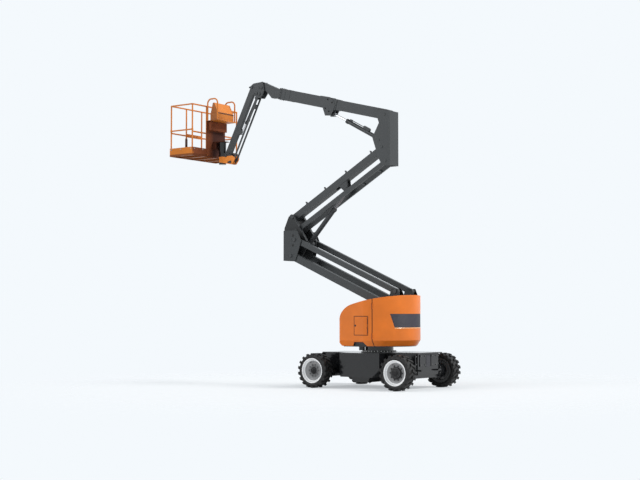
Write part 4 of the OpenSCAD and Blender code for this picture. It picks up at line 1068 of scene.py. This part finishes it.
PLATFORM_LOW, PLATFORM_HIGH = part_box("platform_base")
FRONT, REAR, HALF = PLATFORM_HIGH.x, REAR_PANEL_X, PLATFORM_HIGH.y
FLOOR = PLATFORM_LOW.z + 0.04
TOE_BOLT_Z, TOE_BOLT, TOE_BOLT_END = PLATFORM_LOW.z + 0.155, 0.02, 0.05
GRIP_ROWS, GRIP_COLUMNS, GRIP_TURN = 13, 30, 0.7
GRIP_EDGE_X, GRIP_EDGE_Y = 0.055, 0.06
GRIP_OUTLINE = [(0.017, 0), (0.006, 0.0045), (-0.006, 0.0045), (-0.017, 0), (-0.006, -0.0045),
                (0.006, -0.0045)]
GRIP_RINGS = ((1.0, -0.001), (0.7, 0.0028))
MID_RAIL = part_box("rails_right")[0].z + 0.017
FRONT_RAIL_X = FRONT - 0.023
MID_PLATE_X, MID_PLATE_HALF, MID_PLATE_BOLT = FRONT_RAIL_X - 0.0215, 0.262, 0.012
SLEEVE_Y, SLEEVE_FOOT, SLEEVE_GAP = 0.27, FLOOR + 0.07, 0.06
SOCKET_STEPS = [(-0.001, 0.034), (0.01, 0.034), (0.012, 0.0245), (0.06, 0.0235), (0.064, 0.019)]
CORNER_POST_Y = 0.787
INNER_POST_Y = {"rails_front": 0.27, "rails_rear": 0.3}


def toe_board_bolts():
    bolts = Form()
    for side in SIDES:
        for x in (REAR + TOE_BOLT_END, (REAR + FRONT) / 2, FRONT - TOE_BOLT_END):
            bolts.bolt((x, side * HALF, TOE_BOLT_Z), (0, side, 0), TOE_BOLT)
    for x, out in ((REAR, -1), (FRONT, 1)):
        for y in (-0.74, -0.45, 0.45, 0.74):
            bolts.bolt((x, y, TOE_BOLT_Z), (out, 0, 0), TOE_BOLT)
    bolts.put("toe_board_bolts", "platform", "orange_paint", ZINC)


def floor_grip_studs():
    """Raised bars over the floor, turned one way and the other in turn."""
    grip = Form()
    for i in range(GRIP_ROWS):
        x = REAR + GRIP_EDGE_X + (FRONT - REAR - 2 * GRIP_EDGE_X) * i / (GRIP_ROWS - 1)
        for j in range(GRIP_COLUMNS):
            y = -HALF + GRIP_EDGE_Y + (2 * HALF - 2 * GRIP_EDGE_Y) * j / (GRIP_COLUMNS - 1)
            turn = GRIP_TURN if (i + j) % 2 else -GRIP_TURN
            c, n = math.cos(turn), math.sin(turn)
            grip.skin([[Vector((x + (p * c - q * n) * k, y + (p * n + q * c) * k, FLOOR + h))
                        for p, q in GRIP_OUTLINE] for k, h in GRIP_RINGS])
    grip.put("floor_grip_studs", "platform", "orange_paint", FINISH["floor_grip"])


def front_mid_plate():
    face = MID_PLATE_X - 0.004
    plate = Form()
    plate.block(level, face, MID_PLATE_X + 0.006, -MID_PLATE_HALF, MID_PLATE_HALF,
                MID_RAIL - 0.035, MID_RAIL + 0.045)
    for y in (-0.22, -0.08, 0.08, 0.22):
        plate.bolt((face, y, MID_RAIL + 0.005), (-1, 0, 0), MID_PLATE_BOLT)
    plate.put("front_mid_plate", "platform", "orange_paint", MID_PLATE_PAINTED_LIGHT, 0.002)


def front_post_sleeves():
    rise = MID_RAIL - SLEEVE_GAP - SLEEVE_FOOT
    sleeve = Form()
    sleeve.turned((FRONT_RAIL_X, SLEEVE_Y, SLEEVE_FOOT), (0, 0, 1),
                  [(0, 0.018), (0, 0.027), (0.012, 0.029), (rise - 0.03, 0.029), (rise - 0.02, 0.025),
                   (rise, 0.024), (rise, 0.018)], 24)
    sleeve.put("front_post_sleeves", "platform", "orange_paint", BROWN_PLASTIC_AND_SHADOW_STRIP)


def rail_sockets():
    sockets = Form()
    for node, inner in INNER_POST_Y.items():
        low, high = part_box(node)
        for y in (-CORNER_POST_Y, -inner, inner, CORNER_POST_Y):
            sockets.turned(((low.x + high.x) / 2, y, FLOOR), (0, 0, 1), SOCKET_STEPS, 20)
    sockets.put("rail_sockets", "platform", "orange_paint", FINISH["orange_paint"])


toe_board_bolts()
floor_grip_studs()
front_mid_plate()
front_post_sleeves()
rail_sockets()


# control console

TRAY = CONSOLE_LOW.z + 0.01
BOX_TOP = TRAY + 0.17
SHIELD_X = CONSOLE_LOW.x + 0.038
BOX_FRONT = SHIELD_X + 0.215
LEVER_STEPS = [(-0.002, 0.03), (0.008, 0.03), (0.02, 0.018), (0.03, 0.008), (0.075, 0.007), (0.085, 0.014),
               (0.11, 0.016), (0.118, 0.01)]
KNOB_STEPS = [(-0.002, 0.02), (0.014, 0.02), (0.014, 0.012), (0.024, 0.012), (0.026, 0.021), (0.036, 0.022),
              (0.041, 0.014)]
TOGGLE_STEPS = [(-0.002, 0.011), (0.005, 0.011), (0.006, 0.005), (0.02, 0.0035), (0.028, 0.005),
                (0.03, 0.003)]
TOGGLE_COUNT, TOGGLE_START, TOGGLE_PITCH, TOGGLE_GAP = 6, -0.13, 0.055, 0.03
TOGGLE_DROP = 0.06
SHIELD_SCREW = 0.01
LIP_THICK, LIP_RISE = 0.005, 0.016
# size of the dark strip that paints the shadow line under the shield
SHADOW_STRIP_HALF, SHADOW_STRIP_END = 0.012, 0.05


def console_controls():
    """Levers and stop knob on top of the box, toggles on its front."""
    up = (0, 0, 1)
    levers = Form()
    for y in (-0.2, 0.16):
        levers.turned((BOX_FRONT - 0.03, y, BOX_TOP), up, LEVER_STEPS, 20)
    levers.put("console_levers", "platform", "console_case", BLACK)
    knob = Form()
    knob.turned((BOX_FRONT - 0.028, -0.02, BOX_TOP), up, KNOB_STEPS, 24)
    knob.put("console_stop_knob", "platform", "console_case", STOP_RED)
    toggles = Form()
    for k in range(TOGGLE_COUNT):
        y = TOGGLE_START + TOGGLE_PITCH * k + (TOGGLE_GAP if k >= TOGGLE_COUNT / 2 else 0)
        toggles.turned((BOX_FRONT, y, BOX_TOP - TOGGLE_DROP), (1, 0, 0), TOGGLE_STEPS, 14)
    toggles.put("console_toggles", "platform", "console_case", ZINC)


def console_edges():
    """Lip of the tray, screws of the shield, and a dark strip along its top that paints the shadow line between
    shield and box.
    """
    lip = Form()
    lip.block(level, CONSOLE_LOW.x, CONSOLE_LOW.x + LIP_THICK, CONSOLE_LOW.y, CONSOLE_HIGH.y,
              TRAY - 0.0005, TRAY + LIP_RISE)
    lip.put("tray_lip", "platform", "console_case", FINISH["console_case"])
    screws = Form()
    for y in (-0.26, -0.09, 0.09, 0.26):
        for rise in (0.03, 0.15):
            screws.bolt((SHIELD_X, y, TRAY + rise), (-1, 0, 0), SHIELD_SCREW)
    screws.put("console_screws", "platform", "console_case", ZINC)
    # painted shadow: a dark strip along the top of the box, under the shield
    shadow_strip = Form()
    shadow_strip.block(level, SHIELD_X - SHADOW_STRIP_HALF, SHIELD_X + SHADOW_STRIP_HALF, CONSOLE_LOW.y + SHADOW_STRIP_END,
               CONSOLE_HIGH.y - SHADOW_STRIP_END, BOX_TOP - 0.011, BOX_TOP + 0.009)
    shadow_strip.put("shield_seam", "platform", "console_case", BROWN_PLASTIC_AND_SHADOW_STRIP, 0.002)


console_controls()
console_edges()


# stage, light and camera

PALE = (0.905, 0.947, 0.982)
FLOOR_COLOUR, FLOOR_GLOW, FLOOR_RADIUS = (0.86, 0.88, 0.9), 0.42, 40.0
FADE_START, FADE_END = 3.0, 9.0
WORLD_LIGHT = 0.40
SENSOR = 36.0
PHOTO_WIDTH, FOCAL_PIXELS = 640.0, 1270.0
CAMERA_AT, CAMERA_HEADING, CAMERA_RISE = (-14.751, 22.394, 1.555), -53.962, 3.295


def add_floor():
    """Pale disc that keeps the shadow and fades out into the background."""
    mesh = bpy.data.meshes.new("floor")
    disc = bmesh.new()
    bmesh.ops.create_circle(disc, cap_ends=True, radius=FLOOR_RADIUS, segments=96)
    disc.to_mesh(mesh)
    disc.free()
    floor = bpy.data.objects.new("floor", mesh)
    bpy.context.scene.collection.objects.link(floor)
    finish = Finish("pale_floor", FLOOR_COLOUR, 0.9)
    reach = finish.node("ShaderNodeVectorMath", {"operation": "LENGTH"}, {0: finish.place()}, out="Value")
    glow = finish.node("ShaderNodeEmission", None, {"Color": PALE, "Strength": 1.0})
    seen = finish.ray("Camera")
    lit = Tone(finish, finish.shader.outputs[0])
    shown = finish.node("ShaderNodeMixShader", None, {0: seen * FLOOR_GLOW, 1: lit, 2: glow})
    clear = finish.node("ShaderNodeBsdfTransparent")
    faded = reach.band(FADE_START, FADE_END) * seen
    finish.show(finish.node("ShaderNodeMixShader", None, {0: faded, 1: shown, 2: clear}))
    mesh.materials.append(finish.material)


def add_world():
    """Soft light all round, shown at full strength where it is seen, mirrored or looked through."""
    world = bpy.data.worlds.new("studio")
    world.use_nodes = True
    bpy.context.scene.world = world
    sky = Shading(world.node_tree)
    seen = sky.ray("Camera").larger(sky.ray("Glossy")).larger(sky.ray("Transmission"))
    strength = sky.node("ShaderNodeMapRange", None, {"Value": seen, "To Min": WORLD_LIGHT, "To Max": 1.0})
    back = sky.node("ShaderNodeBackground", None, {"Color": PALE, "Strength": strength})
    sky.node("ShaderNodeOutputWorld", None, {"Surface": back})


def add_sun(name, azimuth, elevation, strength, spread, colour=(1.0, 1.0, 1.0)):
    lamp = bpy.data.lights.new(name, "SUN")
    lamp.energy = strength
    lamp.angle = math.radians(spread)
    lamp.color = colour
    sun = bpy.data.objects.new(name, lamp)
    sun.rotation_euler = (math.radians(90 - elevation), 0.0, math.radians(azimuth + 90))
    bpy.context.scene.collection.objects.link(sun)


def add_camera():
    """The photo's camera, fitted to the object's sizes."""
    lens = bpy.data.cameras.new("camera")
    lens.sensor_width = SENSOR
    lens.lens = FOCAL_PIXELS / PHOTO_WIDTH * SENSOR
    lens.clip_end = 300.0
    camera = bpy.data.objects.new("camera", lens)
    camera.location = CAMERA_AT
    camera.rotation_euler = (math.radians(90 + CAMERA_RISE), 0.0, math.radians(CAMERA_HEADING - 90))
    bpy.context.scene.collection.objects.link(camera)
    bpy.context.scene.camera = camera


add_floor()
add_world()
add_sun("key", 198, 38, 2.7, 24.0, (1.0, 0.99, 0.97))
add_sun("fill", 58, 30, 1.25, 40.0)
add_camera()
bpy.context.scene.view_settings.view_transform = "Standard"

bpy.context.view_layer.update()
